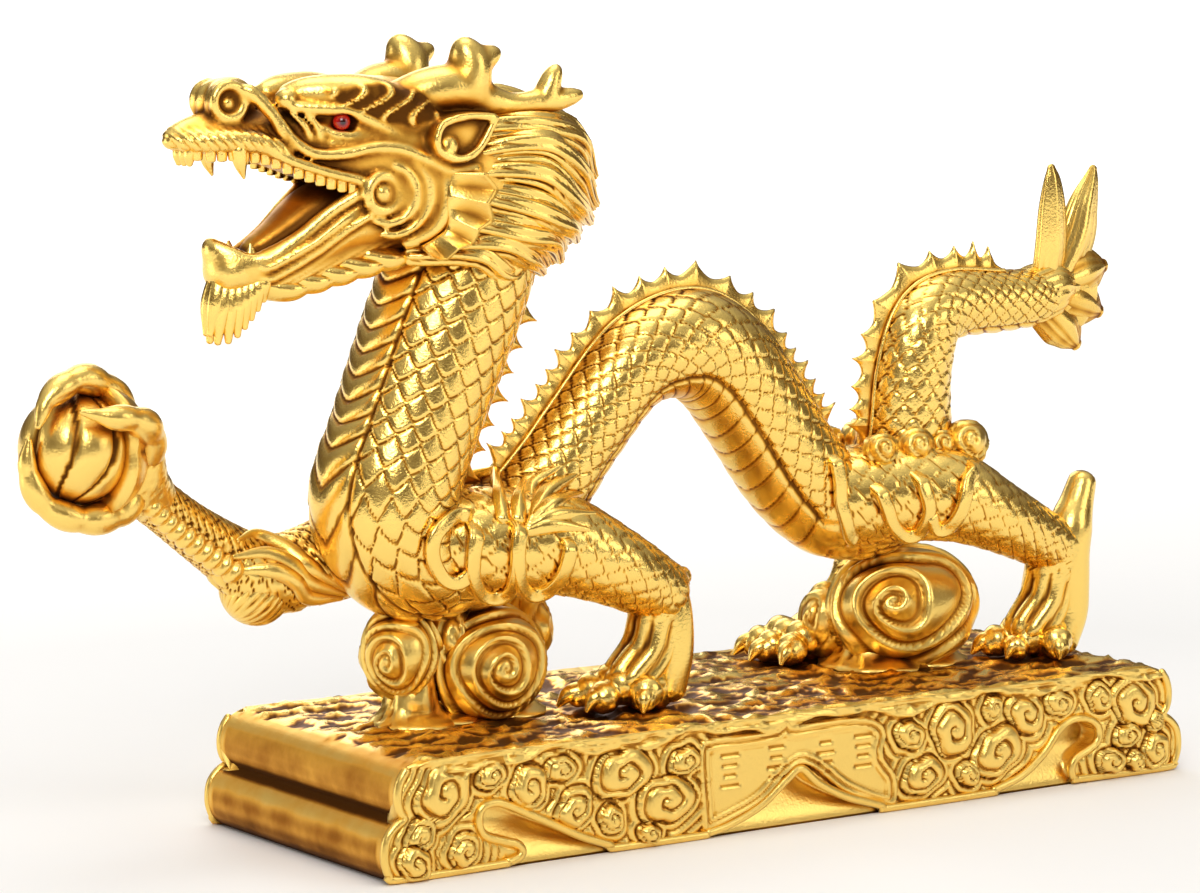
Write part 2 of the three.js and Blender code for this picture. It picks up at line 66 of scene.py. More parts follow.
def look_at(viewer, place, target):
    """Sets a camera or a light at a place and turns its -Z axis to a target."""
    viewer.location = place
    viewer.rotation_euler = (Vector(target) - Vector(place)).to_track_quat("-Z", "Y").to_euler()


camera = in_scene("camera", bpy.data.cameras.new("camera"))
look_at(camera, CAMERA_STAND, CAMERA_AIM)
camera.data.lens = LENS
camera.data.sensor_width = FILM
bpy.context.scene.camera = camera
print("camera stands", round((Vector(CAMERA_AIM) - Vector(CAMERA_STAND)).length, 3), "m away")

# %% [markdown]
# ## Studio
# Polished metal shows its surroundings more than its own colour, so the light decides the look.
# Big soft panels give broad pale highlights, and a darker band in the surroundings gives the
# brown shade between them. The floor is a plain pale sheet that glows towards its far edges, so
# that it runs into the backdrop without a line.

# %% Soft panels
CHEST = (-0.03, 0, 0.1)
PANELS = (  # name, place and width in metres, power in watts
    ("key_panel", (-0.55, -0.75, 0.75), 0.45, 4.7),
    ("fill_panel", (0.55, -0.85, 0.45), 0.5, 1.5),
    ("top_panel", (0.0, 0.05, 0.95), 0.6, 2.1),
    ("back_panel", (0.25, 0.85, 0.55), 0.6, 2.3),
    ("left_panel", (-0.95, 0.45, 0.2), 0.5, 1.3),
)
for name, place, width, power in PANELS:
    lamp = bpy.data.lights.new(name, "AREA")
    lamp.shape = "SQUARE"
    lamp.size = width
    lamp.energy = power
    look_at(in_scene(name, lamp), place, CHEST)
print("studio has", len(PANELS), "panels")

# %% Helpers for finishes
def set_sockets(made, values):
    """Sets a node's input sockets, by name, to fixed values."""
    for socket, value in values.items():
        made.inputs[socket].default_value = value


def node(tree, kind, **values):
    """A shader node of a kind, with named input sockets set to values."""
    made = tree.nodes.new("ShaderNode" + kind)
    set_sockets(made, values)
    return made


def ramp(tree, tones):
    """A colour ramp with a tone at each spot; its own two ends serve for spots 0 and 1."""
    made = node(tree, "ValToRGB")
    stops, ends = made.color_ramp.elements, {0.0: 0, 1.0: -1}
    for spot, tone in tones:
        stop = stops[ends[spot]] if spot in ends else stops.new(spot)
        stop.color = (*tone, 1)
    return made


def stored(tree, name):
    """The number that a mesh keeps for each point under a name."""
    made = node(tree, "Attribute")
    made.attribute_name = name
    return made.outputs["Fac"]


def new_finish(name):
    """A material, its node tree and its main shader."""
    material = bpy.data.materials.new(name)
    material.use_nodes = True
    return material, material.node_tree, material.node_tree.nodes["Principled BSDF"]


print("helpers for finishes are ready")

# %% Surroundings
SKY_BANDS = (  # height from 0 below to 1 above, brightness, and how clear of brown the band is
    (0.0, 0.3, 0.9), (0.42, 0.26, 0.7), (0.52, 0.07, 0), (0.66, 0.17, 0.3), (0.85, 0.5, 1))
WHITE = (1, 1, 1, 1)
world = bpy.data.worlds.new("studio")
bpy.context.scene.world = world
world.use_nodes = True
sky = world.node_tree
split = node(sky, "SeparateXYZ")
lift = node(sky, "MapRange", **{"From Min": -1})
bands = ramp(sky, [(spot, (light, light * (0.7 + 0.3 * clear), light * (0.4 + 0.6 * clear)))
                   for spot, light, clear in SKY_BANDS])
backdrop = node(sky, "Background", Color=WHITE)
choose = node(sky, "MixShader")
mirrored = sky.nodes["Background"]
for output, socket in (
    (node(sky, "TexCoord").outputs["Generated"], split.inputs[0]),
    (split.outputs["Z"], lift.inputs["Value"]),
    (lift.outputs["Result"], bands.inputs[0]),
    (bands.outputs["Color"], mirrored.inputs["Color"]),
    (node(sky, "LightPath").outputs["Is Camera Ray"], choose.inputs["Fac"]),
    (mirrored.outputs[0], choose.inputs[1]),
    (backdrop.outputs[0], choose.inputs[2]),
    (choose.outputs[0], sky.nodes["World Output"].inputs["Surface"]),
):
    sky.links.new(output, socket)
bpy.context.scene.view_settings.view_transform = "Standard"
print("surroundings have", len(SKY_BANDS), "bands")

# %% Floor
FLOOR_REACH = 9
GLOW_FROM, GLOW_TO = 0.3, 2.0
paper, paper_tree, matt = new_finish("pale_paper")
set_sockets(matt, {"Base Color": (0.93, 0.92, 0.9, 1), "Roughness": 0.8, "Emission Color": WHITE})
spread = node(paper_tree, "VectorMath")
spread.operation = "LENGTH"
fade = node(paper_tree, "MapRange", **{"From Min": GLOW_FROM, "From Max": GLOW_TO})
paper_tree.links.new(node(paper_tree, "TexCoord").outputs["Object"], spread.inputs[0])
paper_tree.links.new(spread.outputs["Value"], fade.inputs["Value"])
paper_tree.links.new(fade.outputs["Result"], matt.inputs["Emission Strength"])
sheet = bpy.data.meshes.new("floor")
corners = ((-1, -1), (1, -1), (1, 1), (-1, 1))
sheet.from_pydata([(FLOOR_REACH * u, FLOOR_REACH * v, 0) for u, v in corners], [], [(0, 1, 2, 3)])
sheet.materials.append(paper)
floor = in_scene("floor", sheet)
print("floor reaches", FLOOR_REACH, "m each way")

# %% [markdown]
# ## Gilding
# The casting is gilded and then toned: brown stays in the hollows and the raised edges are rubbed
# bright. Each skin carries a number per point, "hollow", that says how far it lies below its
# neighbours. On some pieces painted shade is added to it where shade falls on them, and on others
# painted light is taken from it. The finish turns that number, and how closed in a place is, into
# more brown and less polish, with soft clouding and a fine sandy grain over all. A second number,
# "satin", takes polish off where the real surface was brushed. A painted picture could do the same,
# but it would have to be unwrapped over every scale.

# %% Gold finish
GOLD_TONES = (
    (0.0, (1.0, 0.69, 0.18)),
    (0.3, (0.88, 0.48, 0.07)),
    (0.62, (0.47, 0.19, 0.02)),
    (1.0, (0.12, 0.042, 0.006)),
)
BRIGHT_ROUGH, BROWN_ROUGH = 0.24, 0.5
HOLLOW_SHARE, MOTTLE_SHARE = 0.6, 0.5
CREASE_REACH = 0.007


def sums(tree, operation, first, second):
    """A maths node: each side is a number or another node's output."""
    made = node(tree, "Math")
    made.operation = operation
    for socket, value in zip(made.inputs, (first, second)):
        if isinstance(value, (int, float)):
            socket.default_value = value
        else:
            tree.links.new(value, socket)
    return made.outputs[0]


def gilding(name, toning):
    """Gold whose colour falls from bright to brown by toning x (hollow + crease + clouding)."""
    material, tree, shader = new_finish(name)
    set_sockets(shader, {"Metallic": 1.0})
    place = node(tree, "TexCoord").outputs["Object"]
    cloudy = node(tree, "TexNoise", Scale=110.0, Detail=3.0)
    grain = node(tree, "TexNoise", Scale=1500.0, Detail=2.0)
    for noise in (cloudy, grain):
        tree.links.new(place, noise.inputs["Vector"])
    crease = node(tree, "AmbientOcclusion", Distance=CREASE_REACH)
    crease.samples = 6
    closed = sums(tree, "SUBTRACT", 1.0, crease.outputs["AO"])
    # The stored hollow number carries the patina of the hollows, and on some pieces painted shade and
    # painted light as well.
    patina_and_painted_shade = sums(tree, "ADD", sums(tree, "MULTIPLY", stored(tree, "hollow"), HOLLOW_SHARE), closed)
    mottle = sums(tree, "MULTIPLY", sums(tree, "SUBTRACT", cloudy.outputs["Fac"], 0.5), MOTTLE_SHARE)
    brown = sums(tree, "MULTIPLY", sums(tree, "ADD", patina_and_painted_shade, mottle), toning)
    tones = ramp(tree, GOLD_TONES)
    rough = node(tree, "MapRange", **{"To Min": BRIGHT_ROUGH, "To Max": BROWN_ROUGH})
    bump = node(tree, "Bump", Strength=0.3, Distance=0.00025)
    tree.links.new(brown, tones.inputs[0])
    tree.links.new(tones.outputs["Color"], shader.inputs["Base Color"])
    tree.links.new(sums(tree, "ADD", brown, mottle), rough.inputs["Value"])
    duller = sums(tree, "ADD", rough.outputs["Result"], stored(tree, "satin"))
    tree.links.new(duller, shader.inputs["Roughness"])
    tree.links.new(grain.outputs["Fac"], bump.inputs["Height"])
    tree.links.new(bump.outputs["Normal"], shader.inputs["Normal"])
    return material


dragon_gold = gilding("dragon_gold", 1.0)
plinth_gold = gilding("plinth_gold", 1.15)
print("finishes", dragon_gold.name, plinth_gold.name)

# %% [markdown]
# ## Skins along a path
# Nearly every part of the dragon is a limb: a round section that swells and tapers along a curve.
# A curve object with a bevel could give the limb but not its scales, so a limb is a grid here.
# One way runs along the path, the other round the section, and a relief is added to the radius.

# %% Smooth paths
SIDEWAYS, UPWARDS = (0.0, 1.0, 0.0), (0.0, 0.0, 1.0)
CURVE_STEPS = 24


def smooth_path(knots, count):
    """A Catmull-Rom curve through the knots, set out evenly by length; columns past xyz ride along."""
    knots = np.asarray(knots, float)
    ends = np.vstack([2 * knots[:1] - knots[1:2], knots, 2 * knots[-1:] - knots[-2:-1]])
    t = np.linspace(0, 1, CURVE_STEPS, endpoint=False)[None, :, None]
    a, b, c, d = (ends[k : k + len(knots) - 1, None] for k in range(4))
    curve = b + 0.5 * ((c - a) * t + (2 * a - 5 * b + 4 * c - d) * t**2 + (3 * b - a - 3 * c + d) * t**3)
    curve = np.vstack([curve.reshape(-1, knots.shape[1]), knots[-1:]])
    steps = np.linalg.norm(np.diff(curve[:, :3], axis=0), axis=1)
    length = np.concatenate([[0], np.cumsum(steps)])
    along = np.linspace(0, length[-1], count)
    return np.column_stack([np.interp(along, length, column) for column in curve.T]), along


def unit(vectors):
    """Each vector divided by its length."""
    return vectors / np.maximum(np.linalg.norm(vectors, axis=-1, keepdims=True), 1e-9)


def held(value):
    """A number held between 0 and 1."""
    return np.clip(value, 0, 1)


def ease(value):
    """A smooth step from 0 to 1."""
    value = held(value)
    return value * value * (3 - 2 * value)


def headings(points, sideways=SIDEWAYS):
    """Along the path, up from it and across it: across is the sideways axis less its part along."""
    ahead = unit(np.gradient(points, axis=0))
    across = unit(np.asarray(sideways) - ahead * (ahead @ np.asarray(sideways))[:, None])
    return ahead, np.cross(ahead, across), across


print("a curve has", CURVE_STEPS, "steps from knot to knot before it is set out evenly")

# %% Closed skins
HOLLOW_UNIT = 0.25


def hollows(rings):
    """Depth of a point below the mean of its neighbours 1 and 3 steps off, in quarter millimetres."""
    rows = np.arange(len(rings))
    last = len(rings) - 1
    round_way = np.roll(rings, -1, 1) - np.roll(rings, 1, 1)
    long_way = rings[np.minimum(rows + 1, last)] - rings[np.maximum(rows - 1, 0)]
    normal = unit(np.cross(round_way, long_way))
    depth = 0
    for reach in (1, 3):
        mean = (np.roll(rings, reach, 1) + np.roll(rings, -reach, 1)
                + rings[np.minimum(rows + reach, last)] + rings[np.maximum(rows - reach, 0)]) / 4
        depth = depth + np.sum((mean - rings) * normal, axis=-1)
    return np.clip(depth / HOLLOW_UNIT, -1, 1)


def skin(rings, start, end):
    """A closed skin: a grid of rings joined into quads, with a fan of triangles to a pole at each end."""
    rows, cols = rings.shape[:2]
    here = np.arange(rows * cols).reshape(rows, cols)
    on = np.roll(here, -1, 1)
    quads = np.stack([here[:-1], on[:-1], on[1:], here[1:]], -1).reshape(-1, 4)
    first, last = rows * cols, rows * cols + 1
    fans = np.vstack([np.column_stack([np.full(cols, first), on[0], here[0]]),
                      np.column_stack([np.full(cols, last), here[-1], on[-1]])])
    points = np.vstack([rings.reshape(-1, 3), start, end])
    return {"points": points, "quads": quads, "fans": fans,
            "hollow": np.append(hollows(rings).ravel(), [0, 0])}


print("a hollow of", HOLLOW_UNIT, "mm counts as one")

# %% Tubes
DOME_RINGS = 5


def tube(knots, rows, cols, relief=None, flat=(1, 1), sideways=SIDEWAYS, dome=0.8):
    """Rings about a path of [x, y, z, radius]; a point is centre + (radius + relief) x direction.

    flat scales the section up and across, and each end closes with a dome of a few rings."""
    path, along = smooth_path(knots, rows)
    ahead, up, across = headings(path[:, :3], sideways)
    swing = np.linspace(1, 0, DOME_RINGS, endpoint=False) * np.pi / 2
    index = np.r_[np.zeros(DOME_RINGS, int), np.arange(rows), np.full(DOME_RINGS, rows - 1)]
    shrink = np.r_[np.cos(swing), np.ones(rows), np.cos(swing[::-1])][:, None]
    reach = np.r_[-np.sin(swing), np.zeros(rows), np.sin(swing[::-1])][:, None]
    radius = path[index, 3:4]
    centre = path[index, :3] + ahead[index] * reach * radius * dome
    angle = np.linspace(0, TURN, cols, endpoint=False)[None]
    rise = relief(along[:, None], angle, path[:, 3:4]) if relief else np.zeros((rows, cols))
    out = (radius + np.broadcast_to(rise, (rows, cols))[index]) * shrink
    rings = (centre[:, None] + flat[0] * (out * np.cos(angle))[..., None] * up[index][:, None]
             - flat[1] * (out * np.sin(angle))[..., None] * across[index][:, None])
    tips = [path[k, :3] + side * ahead[k] * path[k, 3] * dome for k, side in ((0, -1), (-1, 1))]
    return skin(rings, *tips)


def on_side(side, knots):
    """Knots written for the near side (negative y), set on either side."""
    return [[x, -side * y, *rest] for x, y, *rest in knots]


sample = tube([[0, 0, 0, 1], [0, 0, 9, 1]], 10, 8)
print("a tube of 10 rings of 8 points has", len(sample["quads"]), "quads with its domes")

# %% Pieces
def joined_mesh(name, skins):
    """One smooth mesh, in metres, of the skins' points, quads and fans."""
    offsets = np.cumsum([0] + [len(s["points"]) for s in skins])
    points = np.vstack([s["points"] for s in skins]) * MM
    quads = np.vstack([s["quads"] + o for s, o in zip(skins, offsets)])
    fans = np.vstack([s["fans"] + o for s, o in zip(skins, offsets)])
    mesh = bpy.data.meshes.new(name)
    mesh.vertices.add(len(points))
    mesh.vertices.foreach_set("co", points.ravel())
    mesh.loops.add(quads.size + fans.size)
    mesh.loops.foreach_set("vertex_index", np.r_[quads.ravel(), fans.ravel()].astype(np.int32))
    mesh.polygons.add(len(quads) + len(fans))
    starts = np.r_[np.arange(len(quads)) * 4, quads.size + np.arange(len(fans)) * 3]
    mesh.polygons.foreach_set("loop_start", starts.astype(np.int32))
    mesh.polygons.foreach_set("use_smooth", np.ones(len(starts), bool))
    mesh.update(calc_edges=True)
    mesh.validate()
    print(f"{name}: {len(skins)} skins, {2 * len(quads) + len(fans)} triangles")
    return mesh


def store(mesh, name, values):
    """Keeps a number per point under a name that the finishes read."""
    kept = mesh.attributes.new(name, "FLOAT", "POINT")
    kept.data.foreach_set("value", np.broadcast_to(values, len(mesh.vertices)).astype(np.float32))


def piece(name, skins, material, node_name, tone_and_painted_shade=0.0, satin=0.0):
    """Joins skins into one object in the place of a solid.

    tone_and_painted_shade adds brown all over: tone, and painted shade where a piece sits in shade; a
    negative amount is painted light. satin takes some of the polish off."""
    mesh = joined_mesh(name, skins)
    store(mesh, "hollow", np.concatenate([s["hollow"] for s in skins]) + tone_and_painted_shade)
    store(mesh, "satin", satin)
    mesh.materials.append(material)
    made = in_scene(name, mesh)
    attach(made, "root")
    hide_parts(node_name)


def dragon_piece(name, skins, tone_and_painted_shade=0.0, satin=0.0):
    """A piece of the dragon casting."""
    piece(name, skins, dragon_gold, "dragon", tone_and_painted_shade, satin)


def plinth_piece(name, skins, tone_and_painted_shade, satin):
    """A piece of the plinth."""
    piece(name, skins, plinth_gold, "plinth", tone_and_painted_shade, satin)

# %% [markdown]
# ## Scaled trunk
# Neck, arched back and tail are one snake-like body with overlapping scales on the back and broad
# plates under the throat. The scales could be instanced one by one, but the export drops instances
# and a casting has them as one skin. So each scale is a bump in the radius: rows of tongues where
# each row lies over the next, like shingles.

# %% Scales and belly plates
PLATE, PLATE_BOW = 6.0, 5.0
LEAST_SCALE = 1.6


def shingles(row, column):
    """Height of scales, 0 to 1: a tongue climbs to its round tip and drops to the next row's tongue."""
    def tongue(order):
        run = row - order
        slant = 2 * (column + 0.5 * (order % 2))
        slant = slant - 2 * np.round(slant / 2)
        return 0.3 + 0.26 * run - 0.12 * slant**2, 1 + 0.8 * (1 - np.abs(slant) ** 1.45) - run
    first = np.floor(row) - 1
    top, reach = tongue(first)
    under, _ = tongue(first + 1)
    over = held(reach / 0.12 + 0.5)
    return under + (top - under) * over - 0.8 * np.exp(-((reach / 0.09) ** 2))


def scales(columns, height, long=0.52):
    """Relief of scales: the row count grows with length over the width of one scale."""
    def relief(along, angle, radius):
        wide = np.maximum(TURN * radius / columns, LEAST_SCALE)
        row = np.cumsum(np.gradient(along, axis=0) / (long * wide), axis=0)
        return height * shingles(row, angle * columns / TURN)
    return relief


def hide(columns, height, belly, plate_height):
    """Scales on the back and flanks; within an angle of the belly line, plates bowed towards the tail."""
    scaled = scales(columns, height, 0.62)

    def relief(along, angle, radius):
        off = np.abs(angle - np.pi) / np.radians(belly)
        run = (along + PLATE_BOW * off**1.5) / PLATE % 1
        plates = plate_height * (1.3 * np.sqrt(np.sin(np.pi * run)) + 0.5 * run - 0.7)
        border = 1.1 * height * np.exp(-(((off - 1) / 0.06) ** 2))
        return np.where(off < 1, plates, scaled(along, angle, radius)) - border
    return relief


print("belly plates are", PLATE, "mm long")

# %% Neck, back and tail
NECK = [[-70, 0, 160, 17], [-76.7, 0, 141, 18.3], [-84.4, 0, 122.9, 18.3], [-93, 0, 101.9, 17.8],
        [-98.5, 0, 85, 18.3], [-93, 0, 73, 17], [-82, 0, 70, 15.5]]
BACK = [[-88, 0, 72, 15], [-74, 0, 70.5, 14.5], [-62, 0, 76, 13.5], [-51, 0, 87, 12.5],
        [-41.2, 0, 98.6, 12], [-25.5, 0, 114.7, 12.4], [-8.7, 0, 119.1, 14], [3.4, 0, 113.5, 14.3],
        [13.4, 0, 101.7, 14.2], [26.8, 0, 84, 14.2], [39.4, 0, 73.5, 13.6], [52, 0, 71.7, 12.6]]
TAIL = [[46, 0, 70, 12], [56, 0, 72.5, 12.2], [62, 0, 81, 12.4], [63.8, 0, 92, 12.4],
        [64.8, 0, 107, 11.6], [69, 0, 119.4, 10.8], [78.7, 0, 124.5, 9.2], [95.7, 0, 124.6, 8.1],
        [108, 0, 125.2, 7.4], [116, 0, 128, 5.4], [121, 0, 131, 3]]
TRUNK = (  # piece, path, rows, columns, scales round it, their height, belly angle, plate height, painted shade by the spine and on the belly
    ("neck", NECK, 226, 196, (17, 0.75, 30, 0.75), (0.5, 0.3)),
    ("arched_back", BACK, 336, 132, (16, 0.75, 56, 0.28), (1.5, 0.6)),
    ("tail", TAIL, 230, 104, (14, 0.65, 40, 0.5), (0.7, 0.3)),
)
SPINE_BAND, BELLY_FROM = 0.55, 2.0


def with_painted_shade(part, cols, back, belly):
    """Adds painted shade to a tube: brown by the spine, as the shadow of the fin, and brown along the
    belly, the side in shade.
    """
    angle = np.linspace(0, TURN, cols, endpoint=False)
    from_spine = np.minimum(angle, TURN - angle)
    brown = back * np.exp(-((from_spine / SPINE_BAND) ** 2)) + belly * ease((from_spine - BELLY_FROM) / 0.3)
    part["hollow"][:-2] += np.tile(brown, len(part["hollow"]) // cols)
    return part


for name, path, rows, cols, cover, brown in TRUNK:
    dragon_piece(name, [with_painted_shade(tube(path, rows, cols, hide(*cover)), cols, *brown)])

# %% [markdown]
# ## Crest
# A thin saw-toothed fin runs down the middle of the back, with a cord along each side of its foot.
# Single cones would not join up, so the fin is one strip: its height falls in round scallops
# between sharp tips, and every third tip stands taller.

# %% Fin and foot cords
CREST = (  # path, where the fin begins and stops on it, tips, growth
    (NECK, 0.16, 0.7, 8, 1.4), (BACK, 0.19, 0.84, 23, 1.05), (TAIL, 0.24, 0.78, 12, 1.15))
TIP, TALL_TIP, FIN_FOOT = 3.0, 4.2, 3.5
FIN_LEVELS = np.array([0, 0.3, 0.65, 0.92, 1, 0.92, 0.65, 0.3])
FIN_WALLS = np.array([2.0, 1.5, 1.1, 0.6, 0, -0.6, -1.1, -1.5])
CORD, CORD_RISE, CORD_OUT = 0.6, 1.3, 2.3


def fin(knots, begin, stop, tips, grow):
    """A strip on the spine: height = foot + tip x (1 - root(1 - x squared)), x -1 to 1 between tips."""
    path, along = smooth_path(knots, 600)
    _, up, across = headings(path[:, :3])
    keep = (along >= begin * along[-1]) & (along <= stop * along[-1])
    spine = path[keep, :3] + up[keep] * (path[keep, 3:4] - 1)
    share = np.linspace(0, tips, keep.sum())
    x = 2 * (share % 1) - 1
    tall = grow * np.where(np.round(share) % 3 == 1, TALL_TIP, TIP)
    scallop = 0.55 * (1 - np.sqrt(1 - x * x * 0.9999)) + 0.45 * np.abs(x) ** 1.6
    taper = np.minimum(1, np.minimum(share, tips - share) + 0.25)
    height = (1 + FIN_FOOT + tall * scallop) * taper
    rings = (spine[:, None] + (height[:, None] * FIN_LEVELS)[..., None] * up[keep][:, None]
             - FIN_WALLS[None, :, None] * across[keep][:, None])
    feet = [spine + up[keep] * CORD_RISE + side * CORD_OUT * across[keep] for side in (NEAR, FAR)]
    cords = [tube(np.column_stack([foot, np.full(len(foot), CORD)])[::10], 100, 6) for foot in feet]
    strip = skin(rings, spine[0], spine[-1])
    # Painted shade: the strip is browner at its foot, where the fin shades the back, and lighter towards
    # its tips.
    strip["hollow"] = np.append(np.tile(0.35 - 0.7 * FIN_LEVELS, len(rings)), [0, 0])
    return [strip, *cords]


dragon_piece("crest", [part for run in CREST for part in fin(*run)])

# %% [markdown]
# ## Legs and feet
# Each leg is a thick scaled thigh, a thin shank and a bird-like foot of beaded toes with claws.
# The shank has lengthwise folds and a smooth polished tendon behind. A foot could be carved from one
# block, but limbs and toes taper along a line, so they are tubes. A toe swells and pinches along its
# length to give the knuckles, and its claw is a plain tapered hook.

# %% Leg parts
SEAT = 29.3


def strip_scales(columns, height):
    """Scales that give way to lengthwise folds towards the foot."""
    scaled = scales(columns, height)

    def relief(along, angle, radius):
        lower = ease((along / along.max() - 0.2) / 0.3)
        folds = 1.1 * (np.abs(np.sin(4 * angle + 0.6 * np.sin(along / 6))) - 0.65)
        return scaled(along, angle, radius) * (1 - lower) + folds * lower
    return relief


def knuckles(spacing, depth):
    """Beads along a toe: the radius swells by depth x (|sine| - a half)."""
    def relief(along, angle, radius):
        return depth * radius * (np.abs(np.sin(np.pi * along / spacing)) - 0.5) + 0 * angle
    return relief


def toe(root, tip):
    """A beaded toe from the ankle to near its tip, and a hooked claw that reaches the seat."""
    (x, y, z), (u, v) = root, tip

    def knot(share, level, radius):
        return [x + (u - x) * share, y + (v - y) * share, level, radius]

    beads = [knot(0.0, z + 1, 5.4), knot(0.35, SEAT + 6.5, 4.6), knot(0.6, SEAT + 4.8, 4.1),
             knot(0.78, SEAT + 3.4, 3.4)]
    claw = [knot(0.7, SEAT + 4.6, 2.9), knot(0.88, SEAT + 3.8, 2.3), knot(1.0, SEAT + 0.9, 0.5)]
    return [tube(beads, 30, 18, knuckles(6.2, 0.34)), tube(claw, 14, 10, dome=0.4)]


def leg(thigh, shank, tendon, ankle, tips, grid=(110, 90)):
    """Thigh, shank and tendon tubes and the toes of one leg; grid is the thigh's rows and columns."""
    toes = [part for tip in tips for part in toe(ankle, tip)]
    heel = tube([[ankle[0] + 3, ankle[1], ankle[2] + 3, 6], [*ankle, 6.4],
                 [ankle[0] - 3, ankle[1], SEAT + 3.5, 5]], 20, 20, knuckles(6.5, 0.12))
    # Painted shade: brown down the front of the shank, which stands in shade.
    folded = with_painted_shade(tube(shank, 44, 48, strip_scales(13, 0.5)), 48, 0, 0.7)
    return [tube(thigh, *grid, scales(13, 0.6, 0.6)), folded, tube(tendon, 50, 20), heel, *toes]


print("feet stand at", SEAT, "mm")

# %% Three standing legs
FORE_THIGH = [[-88, -2, 74, 14], [-77, -6.4, 73.6, 14], [-66, -10, 73.4, 13.4], [-56, -13, 72.6, 12.6],
              [-41, -17, 66, 9.8], [-27, -16.5, 58.5, 8]]
HIND_THIGH = [[36, -2, 75, 13], [48, -5, 76, 13.4], [60, -9.6, 76.4, 12.6], [70, -13, 75, 12],
              [82, -16, 69.5, 9.5], [97, -15.5, 62.5, 7.8], [107, -14.5, 58, 7]]
near_fore = leg(
    FORE_THIGH,
    [[-27, -16.5, 61.5, 7], [-28.6, -16, 52, 6.8], [-30.4, -15.5, 43.5, 7], [-35.6, -15, 36.5, 7]],
    [[-24.6, -18.4, 61, 3.4], [-24.2, -19, 53, 4.4], [-24.2, -19, 43, 4.6], [-25.6, -18, 34, 4.6]],
    (-30, -15, 34), ((-52, -7), (-50, -17), (-39, -26)))
elbow = tube([[-28, -16.5, 60, 7.2], [-22.5, -16, 61, 4.4], [-19.5, -16, 62, 2.2]], 24, 30, scales(9, 0.4))
near_hind = leg(
    HIND_THIGH,
    [[105, -14.5, 60, 7.6], [103.6, -14, 52, 7], [102, -13.5, 44, 7], [97.4, -13, 36.5, 7]],
    [[113.6, -15, 75.8, 3.9], [111.4, -15.4, 70.4, 4.7], [108.8, -16, 64, 6], [108, -16.6, 57, 5.6],
     [108.4, -17, 49, 5], [108.4, -16.8, 41, 4.8], [106, -16, 33.5, 4.8]],
    (104, -13, 34), ((84, -5), (87, -16), (98, -25)))
far_hind = leg(
    [[60, 8, 78, 12], [67, 15, 67, 9], [66, 19, 56, 7.5]],
    [[66.5, 18.8, 58, 7.6], [63, 20, 48, 6.8], [56, 20, 40, 6.4], [50, 20, 35, 6.4]],
    [[70.5, 18.8, 60, 3.6], [66.6, 20, 48.6, 4.2], [60, 20, 39.6, 4], [54, 20, 34, 4]],
    (50, 20, 35), ((31, 31), (28, 20), (31, 10)), (60, 60))
dragon_piece("legs", [*near_fore, elbow, *near_hind, *far_hind])

# %% [markdown]
# ## Raised arm and pearl
# The far foreleg reaches forward and holds the pearl in a cupped claw. The cup is a bowl turned
# about the line from the palm, with five finger ridges, and clawed fingers curl over its rim. The
# pearl could be a plain ball, but the real one has crescent flutes, so it is turned with a ripple
# that dies out at its poles.

# %% Turned forms
def about(axis):
    """A unit axis and two more at right angles to it, the first of them level."""
    axis = unit(np.asarray(axis, float))
    first = unit(np.cross(axis, UPWARDS))
    return axis, first, np.cross(first, axis)


def turned(centre, axis, profile, cols, relief=None):
    """A profile of [along axis, radius] turned about an axis; relief(row share, angle) adds to radius."""
    axis, first, second = about(axis)
    profile = np.asarray(profile, float)
    angle = np.linspace(0, TURN, cols, endpoint=False)[None]
    share = np.linspace(0, 1, len(profile) - 2)[:, None]
    rise = relief(share, angle) if relief else 0 * angle
    radius = (profile[1:-1, 1:2] + rise)[..., None]
    rings = (np.asarray(centre) + profile[1:-1, None, :1] * axis
             + radius * (np.cos(angle)[..., None] * first + np.sin(angle)[..., None] * second))
    ends = [np.asarray(centre) + profile[k, 0] * axis for k in (0, -1)]
    return skin(rings, *ends)


def ball_profile(radius, rows):
    """Half a circle from the front pole to the back pole."""
    swing = np.linspace(0, np.pi, rows)
    return np.column_stack([radius * np.cos(swing), radius * np.sin(swing)])


def flutes(share, angle):
    """Crescents: a ripple in angle that leans with latitude and dies out at the poles."""
    ripple = np.sin((angle * 8 + 5.5 * np.sin(np.pi * share)) / 2)
    return (0.5 * np.abs(ripple) - np.exp(-((ripple / 0.2) ** 2))) * np.sin(np.pi * share)


CUP_IN, CUP_OUT, CUP_SWING = 13.0, 17.4, 1.45
swing = np.linspace(0, CUP_SWING, 26)
bowl = np.column_stack([-np.cos(swing), np.sin(swing)])
cup_profile = np.vstack([CUP_IN * bowl, CUP_OUT * bowl[::-1]])
print("cup wall is", round(CUP_OUT - CUP_IN, 1), "mm")

# %% Arm, cup, fingers and pearl
def finger_ridges(share, angle):
    """The outer wall swells into five finger ridges towards the rim."""
    folds = np.where(share > 0.5, 1.5 * (np.abs(np.cos(angle * 2.5)) - 0.5), 0)
    return folds * np.sin(np.pi * share) ** 0.5


